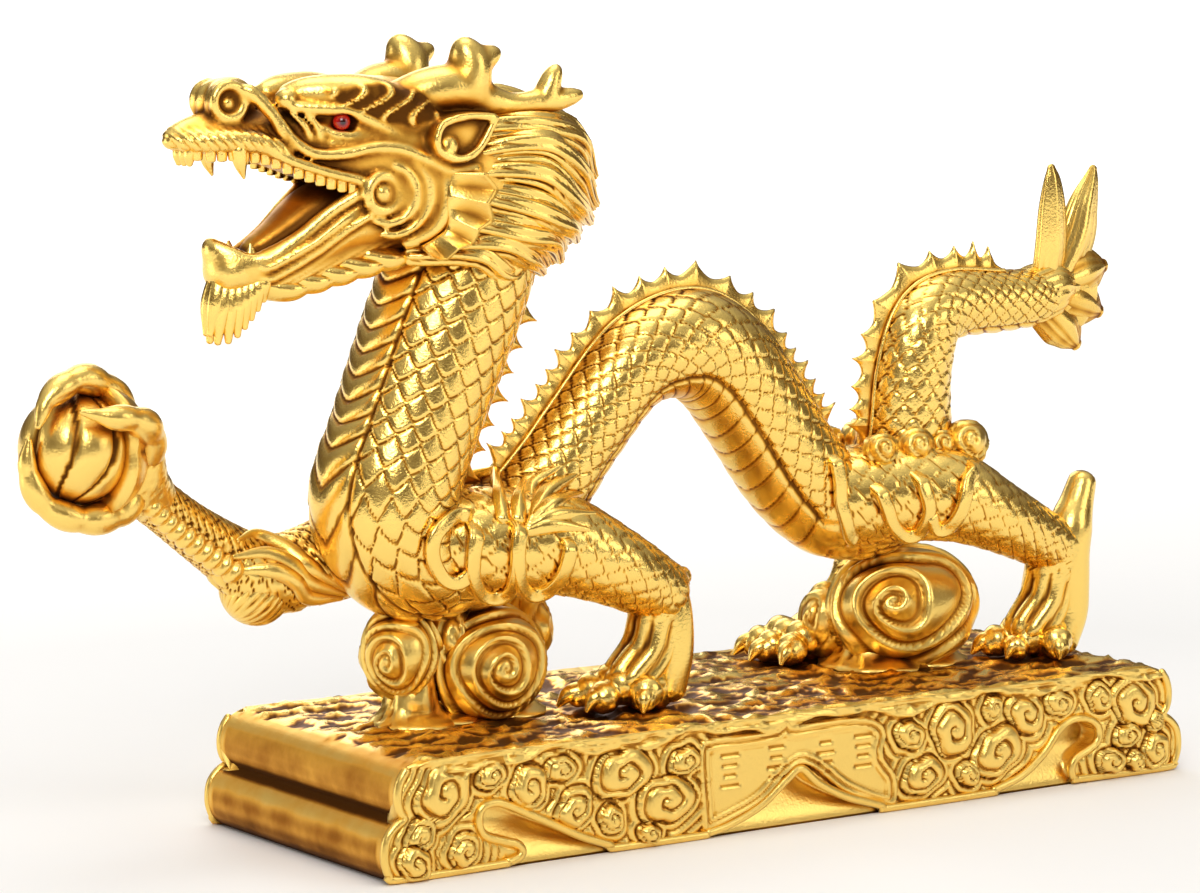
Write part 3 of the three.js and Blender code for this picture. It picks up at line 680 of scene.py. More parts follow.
PEARL, PEARL_RADIUS = np.array([-177.5, 11.0, 102.5]), 13.5
ARM = [[-92, 9, 76, 12], [-106, 15, 69.5, 10.5], [-118, 17.5, 67.5, 9], [-127, 18, 69.5, 8],
       [-141, 16, 78, 6.4], [-153, 14, 86.5, 5.8], [-164, 12.5, 95, 6.5]]
FINGERS = (
    [[-163, 11, 102, 4.4], [-166.5, 10, 113, 3.9], [-177, 7, 119.5, 3.5], [-187.5, 4.5, 116, 2.7],
     [-191.5, 3, 109.5, 0.7]],
    [[-161, 7, 100, 4.6], [-164, 0, 107, 4], [-170, -4, 110.5, 3.3], [-177, -5, 111.6, 2.5],
     [-184, -4.5, 113.2, 0.6]],
    [[-163, 10, 92, 4.4], [-169, 7, 87, 3.9], [-180, 5.5, 86.5, 3.4], [-188.8, 6.4, 91, 3],
     [-192.2, 7, 99, 2.5], [-192.2, 6.4, 106, 0.8]],
    [[-163, 17, 98, 4.6], [-168, 23, 101, 3.8], [-177, 25, 104, 3], [-184, 23, 105, 0.8]],
)
ELBOW = [[-133, 16.4, 71, 6.8], [-125, 15, 66.4, 8.4], [-116, 15, 65, 7.6]]
CUP_AXIS = (-0.92, -0.38, 0.05)
arm_parts = [
    tube(ARM, 150, 78, scales(14, 0.55)),
    turned(PEARL, (0.25, 0.1, 1), ball_profile(PEARL_RADIUS, 50), 90, flutes),
    turned(PEARL, CUP_AXIS, cup_profile, 60, finger_ridges),
    tube(ELBOW, 40, 60, scales(13, 0.5, 0.7)),
    tube([[-156, 13.5, 89, 6.2], [-161, 11, 94, 7.2], [-162.5, 8.5, 101, 6.4], [-163, 8, 107, 4.4]], 36, 36,
         scales(10, 0.4)),
]
print("pearl is", 2 * PEARL_RADIUS, "mm across, held by", len(FINGERS), "fingers")

# %% Beads, sweeps, fingers and tuft
def laid_on(route, limbs):
    """Knots of [x, z, radius] on the near side of limbs: the least y of their balls that cover a spot."""
    route = np.asarray(route, float)
    balls = np.vstack([smooth_path(limb, 160)[0] for limb in limbs])
    off = np.linalg.norm(balls[None, :, [0, 2]] - route[:, None, :2], axis=2)
    reach = balls[:, 1] - np.sqrt(np.maximum(balls[:, 3] ** 2 - off**2, 1))
    best = np.argmin(np.where(off < balls[:, 3], reach, 1000 + off - balls[:, 3]), axis=1)
    return np.column_stack([route[:, 0], reach[np.arange(len(route)), best], route[:, 1:]])


def combed(share, angle):
    """Hair combed over a ball: fine ridges that lean as they run from pole to pole."""
    return 0.6 * (np.abs(np.sin(14 * angle + 3 * share)) - 0.5) * np.sin(np.pi * share)


BEAD_ROW = [[-160, 88.6, 2.3], [-152, 81.8, 2.6], [-142, 74.4, 2.8], [-135, 69.6, 2.8]]
arm_parts.append(tube(laid_on(BEAD_ROW, [ARM]), 110, 14, knuckles(3.3, 0.4)))
SWEEP_DROPS = (-0.6, 3.2, 7)
for drop in SWEEP_DROPS:
    sweep = [[-134 - 0.4 * drop, 76.4 - drop, 0.8], [-126.5, 76.4 - drop, 2], [-120, 73.2 - drop, 2.3],
             [-115.6, 69 - drop, 2.2], [-106, 63.4 - drop / 3, 1.2]]
    arm_parts.append(tube(laid_on(sweep, [ARM, ELBOW]), 44, 14, flat=(1, 0.6)))
arm_parts += [tube(knots, 44, 18, knuckles(9.5, 0.2)) for knots in FINGERS]
arm_parts.append(turned((-126, 16, 63.6), (0.6, -0.35, 0.72), ball_profile(8.8, 36), 100, combed))
# Painted shade: the arm and pearl are browned all over, because the arm sits in shade.
dragon_piece("arm_and_pearl", arm_parts, tone_and_painted_shade=0.75, satin=0.04)

# %% [markdown]
# ## Ribbons, flames and tail fan
# Square-edged bands loop over the shoulder and the haunch, flames lick up from behind them, and the
# tail ends in a fan of ribbed leaves joined by a web. A band could be a curve shrunk onto the body,
# but it has to dip into the flank at both ends. So all are flat tubes on their own short paths, and
# the paths are laid on the balls that make up the limbs.

# %% Ribbons and flames
SHOULDER_RIBBONS = (
    [[-82.4, 81.9], [-89.2, 82.7], [-95.6, 79.3], [-96.6, 73.8], [-93.2, 68], [-88.6, 66.2], [-85.2, 68.7],
     [-85.2, 73.6], [-83.1, 80.9]],
    [[-83.7, 81], [-85.2, 75], [-84.7, 67.9], [-80.6, 62.6], [-76, 61], [-73.6, 62.6], [-74.2, 67.4],
     [-74.4, 74.5], [-72.2, 81.1]],
    [[-73.1, 80.8], [-74.6, 73.2], [-72.6, 65.8], [-67.6, 61.6], [-64, 62], [-62.3, 65.9], [-61.6, 71],
     [-60.8, 76]],
)
HAUNCH_RIBBONS = (
    [[29.5, 88.6], [30.5, 82.6], [31.3, 75.3], [34.6, 68], [38.6, 65]],
    [[41.4, 80.8], [43, 76], [45.8, 70.2], [51, 66.4], [54.2, 66.6], [55, 69.8], [54.9, 74.2], [53.6, 79.2],
     [53.1, 83.3]],
    [[55, 73], [58.6, 68], [61.5, 68.2], [63.2, 72], [64.4, 76.9], [66.1, 81], [70.4, 83.6]],
)
SHOULDER_FLAMES = (
    [[-76, 81.2, 2], [-73.4, 86.4, 1.9], [-66.2, 89.8, 1.7], [-63, 93.5, 0.6]],
    [[-72.1, 81, 2], [-69.3, 85.4, 1.9], [-62.7, 89.1, 0.6]],
    [[-68.3, 80.8, 1.6], [-62.1, 86.6, 2.4], [-54, 91.6, 0.6]],
    [[-68.9, 80.2, 1.6], [-61.6, 85.7, 2.5], [-50, 89.4, 0.6]],
    [[-69.5, 79.5, 1.6], [-61.7, 83.6, 2.5], [-47.6, 84.6, 0.6]],
    [[-70.1, 78.8, 1.6], [-63, 81.3, 2.4], [-50.6, 80.8, 0.6]],
    [[-70.6, 78.2, 1.6], [-64.4, 79.1, 2.2], [-54.4, 77.4, 0.6]],
)
RIBBON, RIBBON_RISE, SINK, EVENINGS = 1.9, 1.7, 4.0, 3
FAR_FLAMES = 3


def strands(count, depth):
    """Hair: grooves that run along a lock and waver a little."""
    def relief(along, angle, radius):
        waver = angle + 0.25 * np.sin(along / 5)
        grooves = np.abs(np.cos(waver * count / 2)) - 0.6
        return radius * depth * (grooves + 0.3 * np.cos(2 * waver + along / 4))
    return relief


def flat_sided(along, angle, radius):
    """A ribbon's section: a circle that swells at its four corners towards a square."""
    corner = 1 / np.maximum(np.abs(np.cos(angle)), np.abs(np.sin(angle))) - 1
    return 0.75 * radius * corner + 0 * along


def ribbon(side, route, limbs):
    """A flat band laid along a route of [x, z] over the limbs, its two ends let into the flank."""
    line, _ = smooth_path([[x, 0, z, RIBBON] for x, z in route], 30)
    knots = laid_on(line[:, [0, 2, 3]], limbs)
    for _ in range(EVENINGS):
        knots[1:-1, 1] = (knots[:-2, 1] + 2 * knots[1:-1, 1] + knots[2:, 1]) / 4
    knots[:, 1] -= RIBBON_RISE
    knots[[0, 1, -2, -1], 1] += SINK * np.array([1, 0.4, 0.4, 1])
    return tube(on_side(side, knots), 80, 20, flat_sided, flat=(1, 0.55))


trim_parts = []
fore_limbs, hind_limbs = [NECK, BACK, FORE_THIGH], [BACK, TAIL, HIND_THIGH]
for side in (NEAR, FAR):
    for routes, limbs in ((SHOULDER_RIBBONS, fore_limbs), (HAUNCH_RIBBONS, hind_limbs)):
        chosen = routes if side == NEAR else routes[1:2]
        trim_parts += [ribbon(side, route, limbs) for route in chosen]
    for flame in SHOULDER_FLAMES[:: 1 if side == NEAR else FAR_FLAMES]:
        route = on_side(side, laid_on(flame, fore_limbs))
        trim_parts.append(tube(route, 26, 16, strands(5, 0.2), flat=(1, 0.8)))
print("ribbons and flames:", len(trim_parts))

# %% Tail fan
LEAVES = (
    [[112, 0, 124, 5], [112.6, -2, 138, 5.4], [112.4, -2.6, 149, 4.6], [112, -3, 156.4, 3],
     [111.6, -3, 160, 1.4]],
    [[115, 0, 127, 6.4], [122.6, 0, 140, 6.8], [125.6, 0, 149, 5.2], [128.4, 0.4, 155.4, 3],
     [129.6, 0.6, 159, 1.4]],
    [[113, 0, 127, 6.4], [124, 0, 130.6, 8.4], [129.6, 0, 131.8, 5.6], [133.2, 0, 132.4, 2]],
    [[113, 0, 126, 6.4], [122, 0, 124, 8.4], [128, 0, 121.6, 5.6], [131.8, 0, 120, 2]],
    [[110, 0, 124, 6.4], [117.6, 0, 118, 7.4], [121.4, 0, 114, 5], [123.8, 0, 111.4, 2]],
)
LEAF_BROWN, WEB_BROWN = (0, 0.3, 1.0, 1.1, 1.0), 1.0
WEB = [[108, 0, 125, 8], [115, 0, 126, 10.6], [124, 0, 126.4, 10.6], [128, 0, 126.6, 8]]
PALM = [[104, 0, 124.8, 7.4], [110, 0, 126, 8], [115, 0, 127.2, 7.6], [120, 0, 127.6, 5]]


def midrib(along, angle, radius):
    """A leaf: a raised rib down each face with shallow grooves beside it."""
    face = np.abs(np.sin(angle))
    edge = 0.25 * np.exp(-(((face - 1) / 0.05) ** 2))
    return radius * (edge - 0.12 * np.abs(np.sin(angle * 6))) + 0 * along


for knots, brown in zip(LEAVES, LEAF_BROWN):
    leaf = tube(knots, 36, 36, midrib, flat=(1, 0.45))
    leaf["hollow"] += brown
    trim_parts.append(leaf)
web = tube(WEB, 24, 32, flat=(1, 0.33), dome=0.3)
web["hollow"] += WEB_BROWN
trim_parts += [web, tube(PALM, 44, 60, strands(16, 0.07), flat=(1, 0.85))]
dragon_piece("bands_and_tail_fan", trim_parts)

# %% [markdown]
# ## Cloud bosses
# The belly and the haunch rest on rolled clouds that open like roses, on stumps of rock. A rose could
# be built petal by petal, but the real one is a single coil. So each is a ball with one petal edge
# that winds out from the eye: sharp towards the eye, falling away outwards.

# %% Roses and their rock feet
def rosette(centre, radii, axis, turns, depth, rows, cols, spread=0.85):
    """A ball about an axis: the petal edge climbs at each whole turn, then sinks evenly to the next.

    A spread below 1 winds the petals tighter at the eye than at the rim."""
    axis, first, second = about(axis)
    centre, radii = np.asarray(centre), np.asarray(radii, float)
    polar = np.linspace(0, np.pi, rows + 2)[1:-1, None]
    angle = np.linspace(0, TURN, cols, endpoint=False)[None]
    normal = (np.cos(polar)[..., None] * axis + np.sin(polar)[..., None]
              * (np.cos(angle)[..., None] * first + np.sin(angle)[..., None] * second))
    waver = 0.26 * np.sin(2 * angle + 5 * polar) + 0.16 * np.sin(3 * angle - 3 * polar)
    coil = turns * (polar / np.pi) ** spread * (1 + 0.14 * np.cos(angle))
    run = (coil + angle / TURN + waver * np.sin(polar)) % 1
    petal = 0.25 + 0.75 * ease(run / 0.24) - 0.75 * run
    bud = 0.7 * np.exp(-((polar / 0.22) ** 2))
    rise = depth * (petal * held(polar / 0.2) + bud - 0.4) * held((np.pi - polar) / 0.6)
    rings = centre + normal * (radii + rise[..., None])
    ends = [centre + side * axis * (radii + lift) for side, lift in ((1, 0.3 * depth), (-1, 0))]
    return skin(rings, *ends)


def crags(share, angle):
    """Upright creases in a rock, deeper towards its foot."""
    crease = np.abs(np.sin(3.5 * angle + 2 * np.sin(2 * angle + 4 * share)))
    return (0.4 + 1.4 * share) * (crease - 0.6)


def rock_foot(x, y, wide):
    """A waisted stump that spreads where it meets the plinth."""
    level = np.linspace(16, -1, 30)
    radius = wide * (0.6 + 0.5 * np.exp(-np.maximum(level, 0) / 2.4))
    profile = np.vstack([[16.5, 0], np.column_stack([level, radius]), [-1.2, 0]])
    return turned((x, y, SEAT), (0.02, 0, 1), profile, 40, crags)


print("rock feet stand on the seat at", SEAT, "mm")

# %% Bosses and haunch knobs
ROSES = (  # centre, radii, axis, turns, depth, rows, columns, spread
    ((-69.4, 1, 42), (16.4, 13, 15), (-0.12, -0.99, 0.02), 9.4, 2.8, 96, 104),
    ((-92.5, 2, 47), (9.4, 9.8, 11.6), (-0.83, -0.54, -0.14), 8.4, 2.2, 76, 84),
    ((-79, 4, 47), (9, 9.5, 14), (-0.3, -0.9, 0.3), 6, 1.8, 44, 50),
    ((-80, 14, 44), (16, 9, 13), (-0.1, 0.95, 0.2), 5, 2.2, 40, 48),
    ((-54, 8, 48), (8, 9, 11), (0.5, -0.8, 0.2), 4, 1.8, 36, 44),
    ((65.6, 2, 43.8), (21.2, 15.4, 16), (-0.6, -0.77, 0.24), 6.4, 4, 90, 110, 0.68),
    ((50, 14, 40), (8, 7, 10), (-0.9, -0.2, 0.2), 4, 1.8, 36, 44),
    ((70, 13, 42), (15, 9, 13), (0.2, 0.95, 0.1), 5, 2.2, 40, 48),
)
ROCKS = ((-90, 2, 10), (-80, 8, 13), (-62, 5, 11), (58, 5, 14), (72, 5, 13))
KNOBS, KNOB_OUT, KNOB_LEVEL = ((47, 4.4), (58.4, 5.2), (67.2, 4), (75.4, 6.2)), 11.4, 88.6
cloud_parts = [rosette(*rose) for rose in ROSES] + [rock_foot(*place) for place in ROCKS]
for side in (NEAR, FAR):
    for x, swell in KNOBS:
        centre, axis = (x, side * KNOB_OUT, KNOB_LEVEL), (-0.3, side * 0.9, 0.3)
        cloud_parts.append(rosette(centre, (swell, swell, swell), axis, 5, 1.5, 30, 36))
# The negative amount is painted light: the bosses are made lighter all over, as if lit.
dragon_piece("cloud_bosses", cloud_parts, tone_and_painted_shade=-0.25, satin=0.06)

# %% [markdown]
# ## Head in clay
# The head has gaping jaws, brows, lids and ridges that run into one another, so it can't be one
# grid. It is modelled as a sculptor does, by adding strokes of clay and scraping some away: every
# stroke lowers or raises one field of distances on a block of small cells, and the skin is then
# drawn where the field is zero. One half is worked and the other is its mirror.

# %% Block of clay
CELL, HALF_CELLS, EMPTY = 0.7, 37, 6.0
CLAY_X, CLAY_Z = (-162.0, -45.0), (128.0, 201.0)
axes = [np.arange(CLAY_X[0], CLAY_X[1] + CELL / 2, CELL), -CELL * np.arange(HALF_CELLS)[::-1],
        np.arange(CLAY_Z[0], CLAY_Z[1] + CELL / 2, CELL)]
clay = np.full([len(axis) for axis in axes], EMPTY)


def window(low, high):
    """The slices of the block between two corners, and the coordinates there."""
    spans = [slice(max(0, np.searchsorted(axis, a) - 1), np.searchsorted(axis, b) + 1)
             for axis, a, b in zip(axes, low, high)]
    return tuple(spans), np.meshgrid(*[axis[s] for axis, s in zip(axes, spans)], indexing="ij", sparse=True)


def work(spans, form, soft, scrape):
    """Joins a form to the clay by a smooth least (adding) or a smooth greatest (scraping)."""
    here = clay[spans]
    sign = -1 if scrape else 1
    a, b = sign * here, form
    mix = held(0.5 + 0.5 * (b - a) / soft)
    clay[spans] = sign * (b * (1 - mix) + a * mix - soft * mix * (1 - mix))


print("clay block", clay.shape)

# %% Strokes, lumps and rings
MARGIN = 1.5


def stroke(knots, soft=1.5, scrape=False, pieces=None, wide=1.0):
    """A run of round cones along a path: distance to the axis less the radius there."""
    count = pieces or 4 * (len(knots) - 1) + 1
    path, _ = smooth_path(knots, count)
    for start, stop in zip(path[:-1], path[1:]):
        room = max(start[3], stop[3]) * max(1, wide) + soft + MARGIN
        spans, (x, y, z) = window(np.minimum(start, stop)[:3] - room, np.maximum(start, stop)[:3] + room)
        if 0 in clay[spans].shape:
            continue
        run = stop[:3] - start[:3]
        inner = (x - start[0]) * run[0] + (y - start[1]) * run[1] + (z - start[2]) * run[2]
        share = held(inner / (run @ run))
        gap = np.sqrt((x - start[0] - share * run[0]) ** 2 + ((y - start[1] - share * run[1]) / wide) ** 2
                      + (z - start[2] - share * run[2]) ** 2)
        work(spans, gap - start[3] - share * (stop[3] - start[3]), soft, scrape)


def lump(centre, radii, soft=2.0, scrape=False):
    """An egg of clay: (k - 1) x k over its slope, k being the distance in units of the radii."""
    centre, radii = np.asarray(centre, float), np.asarray(radii, float)
    spans, (x, y, z) = window(centre - radii - soft - MARGIN, centre + radii + soft + MARGIN)
    u, v, w = ((c - m) / r for c, m, r in zip((x, y, z), centre, radii))
    k = np.sqrt(u * u + v * v + w * w)
    slope = np.sqrt((u / radii[0]) ** 2 + (v / radii[1]) ** 2 + (w / radii[2]) ** 2)
    work(spans, k * (k - 1) / np.maximum(slope, 1e-6), soft, scrape)


def ring(centre, radius, thick, begin=0.0, stop=360.0, tilt=0.0, soft=0.7):
    """A raised ring, or part of one, in the upright plane of the cheek."""
    x, y, z = centre
    swing = np.radians(np.linspace(begin, stop, 13))
    stroke([[x + radius * np.cos(a), y + tilt * np.cos(a), z + radius * np.sin(a), thick] for a in swing],
           soft, pieces=25)


print("strokes stop", MARGIN, "mm past their soft edge")

# %% Cut-outs
SLAB_ROOM = 3


def outline_gap(x, z, corners):
    """Distance to a closed outline in the x-z plane, negative inside it."""
    corners = np.asarray(corners, float)
    gap, inside = np.full(x.shape, 1e9), np.zeros(x.shape, bool)
    for (ax, az), (bx, bz) in zip(corners, np.roll(corners, -1, 0)):
        run_x, run_z = bx - ax, bz - az
        share = held(((x - ax) * run_x + (z - az) * run_z) / (run_x**2 + run_z**2))
        gap = np.minimum(gap, np.hypot(x - ax - share * run_x, z - az - share * run_z))
        inside ^= ((az > z) != (bz > z)) & (x < run_x * (z - az) / (run_z + 1e-12) + ax)
    return np.where(inside, -gap, gap)


def flat_path(corners, count):
    """A smooth line through corners [x, z] in an upright plane."""
    return smooth_path([[x, 0, z] for x, z in corners], count)[0][:, [0, 2]]


def slab(corners, middle, half, shrink=0.0, soft=0.8, scrape=False):
    """A flat cut-out: inside an outline in side view and within half of the middle depth."""
    corners = flat_path([*corners, corners[0]], 60)[:-1]
    low, high = corners.min(0), corners.max(0)
    spans, (x, y, z) = window([low[0] - SLAB_ROOM, middle - half - SLAB_ROOM, low[1] - SLAB_ROOM],
                              [high[0] + SLAB_ROOM, middle + half + SLAB_ROOM, high[1] + SLAB_ROOM])
    gap = outline_gap(*np.broadcast_arrays(x[:, 0], z[:, 0]), corners)[:, None]
    work(spans, np.maximum(gap + shrink, np.abs(y - middle) - half), soft, scrape)


print("cut-outs are ready")

# %% Skull, jaws and gape
stroke([[-66, 0, 160, 19], [-84, 0, 165, 20.5], [-102, 0, 171, 17.5], [-117, 0, 173.5, 12.6],
        [-127, 0, 173.4, 9.2], [-135, 0, 173.2, 7.4], [-147, 0, 174.4, 6.6], [-154, 0, 175, 3.6]], 2)
stroke([[-80, 0, 158, 14], [-94, 0, 157, 12.5], [-106, 0, 154, 10.4], [-117, 0, 150, 9.4],
        [-128, 0, 146.4, 8.6], [-139, 0, 145.2, 6.2], [-145.6, 0, 149.6, 2.6]], 3)
stroke([[-104, -9.5, 157, 6], [-114, -8.6, 155.4, 5.4], [-124, -7, 150.4, 4.4], [-134, -5.4, 146, 3.6]], 2)
lump((-96, -12, 160), (13, 7.5, 11.5))
lump((-107.5, -11.5, 162), (7, 4.8, 7))
lump((-106, 0, 183), (17, 9, 5.5), 3)
GAPE = np.array([[-166, 174.5], [-150, 172.6], [-143, 173], [-135, 171.4], [-129, 168.4], [-120, 165.4],
                 [-112.5, 163.8], [-114, 162.2], [-120, 158.4], [-126.4, 153.4], [-131.6, 150.2],
                 [-136, 147.8], [-140, 148.6], [-147, 152.5], [-166, 152.5]])
side_view = np.meshgrid(axes[0], axes[2], indexing="ij")
gape = np.broadcast_to(outline_gap(*side_view, GAPE)[:, None, :], clay.shape)
work((slice(None),) * 3, gape, 0.8, True)
stroke([[-104, 0, 159, 5.5], [-114, 0, 159.5, 5.2], [-121, 0, 157.4, 4.4], [-129, 0, 152.6, 3],
        [-136, 0, 148.8, 2]], 1, wide=1.6)
print("mouth is cut with", len(GAPE), "corners and has its tongue")

# %% Brow and eye
stroke([[-128, -5.4, 185.6, 2.6], [-121, -8.2, 185.6, 4], [-110, -11, 184.4, 5], [-101, -13.4, 181, 4.6],
        [-94, -16, 178.4, 2.6]], 2)
lump((-130, -7.4, 184.6), (2.7, 2.7, 2.7), 0.5)
stroke([[-129, -9.2, 183, 1.2], [-123, -11.4, 182.4, 1.5], [-116.5, -13.6, 181.8, 1.6],
        [-110.5, -15, 179.2, 1.5], [-104, -16.2, 176, 1.1]], 0.7)
lump((-117.4, -13.4, 178.8), (3.1, 2.8, 2.3), 0.7, True)
LID_AND_WRINKLES = (
    [[-122.4, -10.8, 178.6, 0.8], [-120.2, -12.2, 176.6, 1], [-116, -13.6, 175.8, 1.1],
     [-111, -14.4, 176, 0.8]],
    [[-129.6, -9.4, 181.4, 0.6], [-126.6, -10.6, 178.4, 0.8], [-125.2, -11, 175.4, 0.6]],
    [[-126.4, -10.4, 181.6, 0.6], [-123.8, -11.4, 178.6, 0.8], [-122.6, -11.8, 175, 0.6]],
    [[-121, -12.6, 174.4, 0.6], [-115, -14.2, 173.8, 0.8], [-109, -15.2, 175, 0.6]],
)
for fold in LID_AND_WRINKLES:
    stroke(fold, 0.5)
print("lid and wrinkles:", len(LID_AND_WRINKLES), "strokes")

# %% Nose, lips and cheek
lump((-141, 0, 184.2), (6.6, 4.6, 6), 1.8)
lump((-143.4, -2.2, 184.2), (5.4, 3.2, 5.2), 1.5)
ring((-143.8, -4.8, 184.3), 4, 1.2)
lump((-144, -6, 184.3), (3.1, 2.2, 2.9), 0.5, True)
lump((-143.8, -4.2, 184), (1.5, 1.2, 1.4), 0.4)
stroke([[-139, -5.6, 187.2, 1.4], [-135.4, -6.8, 183.4, 1.5], [-133, -8.2, 180, 1.3],
        [-131.6, -9.2, 176, 1]], 1)
stroke([[-156, -1.4, 175.4, 1.9], [-151.5, -4, 175.2, 2.4], [-145, -6.4, 175.2, 2.5],
        [-138, -8.2, 174.4, 2.2], [-131, -9.6, 172.4, 1.6]], 1)
stroke([[-157, 0, 175.8, 1.8], [-154, 0, 177, 2.2], [-149, 0, 178.4, 2.6]], 1.5)
FOLDS = (
    [[-132.1, -9, 179.4, 1], [-129.5, -10.3, 175, 1.25], [-124.9, -12.4, 171.8, 1.25],
     [-117.8, -14.3, 171.6, 1.25], [-110.7, -16.2, 173, 1.25], [-104, -17.7, 172.5, 1.25],
     [-97.4, -19.3, 169.8, 1.25], [-91.2, -20.4, 167, 1.25], [-85, -21.4, 167.4, 1.1]],
    [[-136, -9.4, 172.8, 1.2], [-129.3, -11, 169.8, 1.3], [-120.6, -13, 167, 1.3],
     [-113.5, -14.8, 165.2, 1.3]],
    [[-111, -15.2, 164.4, 1.6], [-113.4, -13.8, 162, 1.7], [-120, -11.4, 157.8, 1.6],
     [-126.4, -9.6, 152.8, 1.5], [-131.6, -8.2, 149.7, 1.4], [-137, -6.4, 147.4, 1.2]],
    [[-110, -15.6, 157.6, 1.3], [-117.8, -13.2, 154.2, 1.4], [-125.7, -10.8, 149, 1.3],
     [-130.9, -8.6, 145.8, 1.2], [-136.1, -7, 143.4, 1.1]],
    [[-92.5, -18.8, 166, 2], [-91.8, -19, 159, 2.4], [-94.6, -17.4, 153.2, 2.2], [-101, -15.4, 149.8, 1.6]],
)
for fold in FOLDS:
    stroke(fold, 0.7)
ring((-108.4, -16.2, 162), 4.2, 1.3)
lump((-108.4, -16, 162), (2.3, 2, 2.3), 0.5)
ring((-107.4, -17, 161.8), 7, 0.9, -115, 75, tilt=-1.6)
ring((-106.4, -17, 161.6), 9.6, 0.9, -105, 55, tilt=-2)
lump((-142.5, 0, 143.2), (5, 6.5, 4.6), 2)
print("face has", len(FOLDS), "long folds")

# %% Horns and ears
stroke([[-101, -9, 182, 5], [-94, -12, 185.5, 5.2], [-86, -13.6, 186.4, 5.2], [-78, -14.4, 183.6, 3.6],
        [-71, -15.2, 182, 2.6], [-64, -15.8, 182.6, 2.6], [-58, -16.2, 183.2, 2.4],
        [-52, -16.6, 184.2, 1.4]], 1.5)
stroke([[-83, -13.8, 187, 5], [-82.4, -14.4, 192.4, 4.3], [-84.4, -14.8, 196.2, 2.3]], 2)
stroke([[-81.5, -14.6, 192.5, 3.2], [-77.5, -15, 194, 2.1], [-75.4, -15, 194.9, 1.2]], 1.5)
stroke([[-61.5, -16, 184, 2.5], [-60, -16.3, 188, 2], [-58.6, -16.6, 190.6, 1.2]], 1.5)
EAR = [[-98.4, 174.6], [-96.4, 179], [-91, 181], [-85, 181.4], [-79, 180.2], [-81, 175.4], [-84.2, 171],
       [-88.4, 168.8], [-93, 168.8], [-97, 171]]
slab(EAR, -19.6, 3.6, 0.4, 1.2)
slab(EAR, -24.2, 3, 2.3, 0.6, True)
lump((-92.8, -20.8, 173), (2.8, 2.2, 2.8), 0.6)
print("clay inside the skin:", int((clay < 0).sum()), "cells in the worked half")

# %% [markdown]
# ## Skin of the clay
# The zero level of the field becomes a mesh by surface nets: each cell that the level passes
# through gets one point, at the mean of its edge crossings, and each crossed edge of the block
# gets one quad between the four cells around it. All cells are handled at once as arrays.

# %% Surface nets
CORNERS = np.array([[i, j, k] for i in (0, 1) for j in (0, 1) for k in (0, 1)])
EDGES = [(a, b) for a in range(8) for b in range(a) if np.abs(CORNERS[a] - CORNERS[b]).sum() == 1]


def surface_nets(field, low, cell):
    """Points and quads of the zero level: mean edge crossing per cell, one quad per crossed edge."""
    inside = field < 0
    wide, deep, tall = np.array(inside.shape) - 1
    count = sum(inside[i : wide + i, j : deep + j, k : tall + k].astype(int) for i, j, k in CORNERS)
    cells = np.argwhere((count > 0) & (count < 8))
    index = np.full(count.shape, -1)
    index[tuple(cells.T)] = np.arange(len(cells))
    value = [field[tuple((cells + corner).T)] for corner in CORNERS]
    total, hits = np.zeros((len(cells), 3)), np.zeros((len(cells), 1))
    for a, b in EDGES:
        crossed = ((value[a] < 0) != (value[b] < 0))[:, None]
        share = (value[a] / np.where(crossed[:, 0], value[a] - value[b], 1))[:, None]
        total += np.where(crossed, CORNERS[a] + share * (CORNERS[b] - CORNERS[a]), 0)
        hits += crossed
    points = low + cell * (cells + total / hits)
    around = {0: ((0, -1, -1), (0, 0, -1), (0, 0, 0), (0, -1, 0)),
              1: ((-1, 0, -1), (-1, 0, 0), (0, 0, 0), (0, 0, -1)),
              2: ((-1, -1, 0), (0, -1, 0), (0, 0, 0), (-1, 0, 0))}
    quads = []
    for axis, ring_cells in around.items():
        begin = np.take(inside, range(inside.shape[axis] - 1), axis)
        stop = np.take(inside, range(1, inside.shape[axis]), axis)
        for leaving in (True, False):
            edges = np.argwhere((begin & ~stop) if leaving else (~begin & stop))
            corners = np.column_stack([index[tuple((edges + step).T)] for step in ring_cells])
            quads.append(corners if leaving else corners[:, ::-1])
    return points, np.vstack(quads)


def neighbour_mean(points, quads):
    """The mean of each point's neighbours along quad sides."""
    ends = np.vstack([quads[:, [k, (k + 1) % 4]] for k in range(4)])
    ends = np.vstack([ends, ends[:, ::-1]])
    many = np.bincount(ends[:, 0], minlength=len(points))[:, None]
    total = [np.bincount(ends[:, 0], column[ends[:, 1]], len(points)) for column in points.T]
    return np.column_stack(total) / many


def net_normals(points, quads):
    """The mean of the quads' own normals at each point."""
    facing = np.cross(points[quads[:, 2]] - points[quads[:, 0]], points[quads[:, 3]] - points[quads[:, 1]])
    total = [np.bincount(quads.ravel(), np.repeat(column, 4), len(points)) for column in facing.T]
    return unit(np.column_stack(total))


print("a cell has", len(EDGES), "edges")

# %% Draw and smooth the skin
SMOOTHINGS = 2
whole = np.concatenate([clay, clay[:, -2::-1]], axis=1)
head_points, head_quads = surface_nets(whole, np.array([axis[0] for axis in axes]), CELL)
for _ in range(SMOOTHINGS):
    head_points = 0.5 * head_points + 0.5 * neighbour_mean(head_points, head_quads)
print("head skin has", len(head_points), "points")

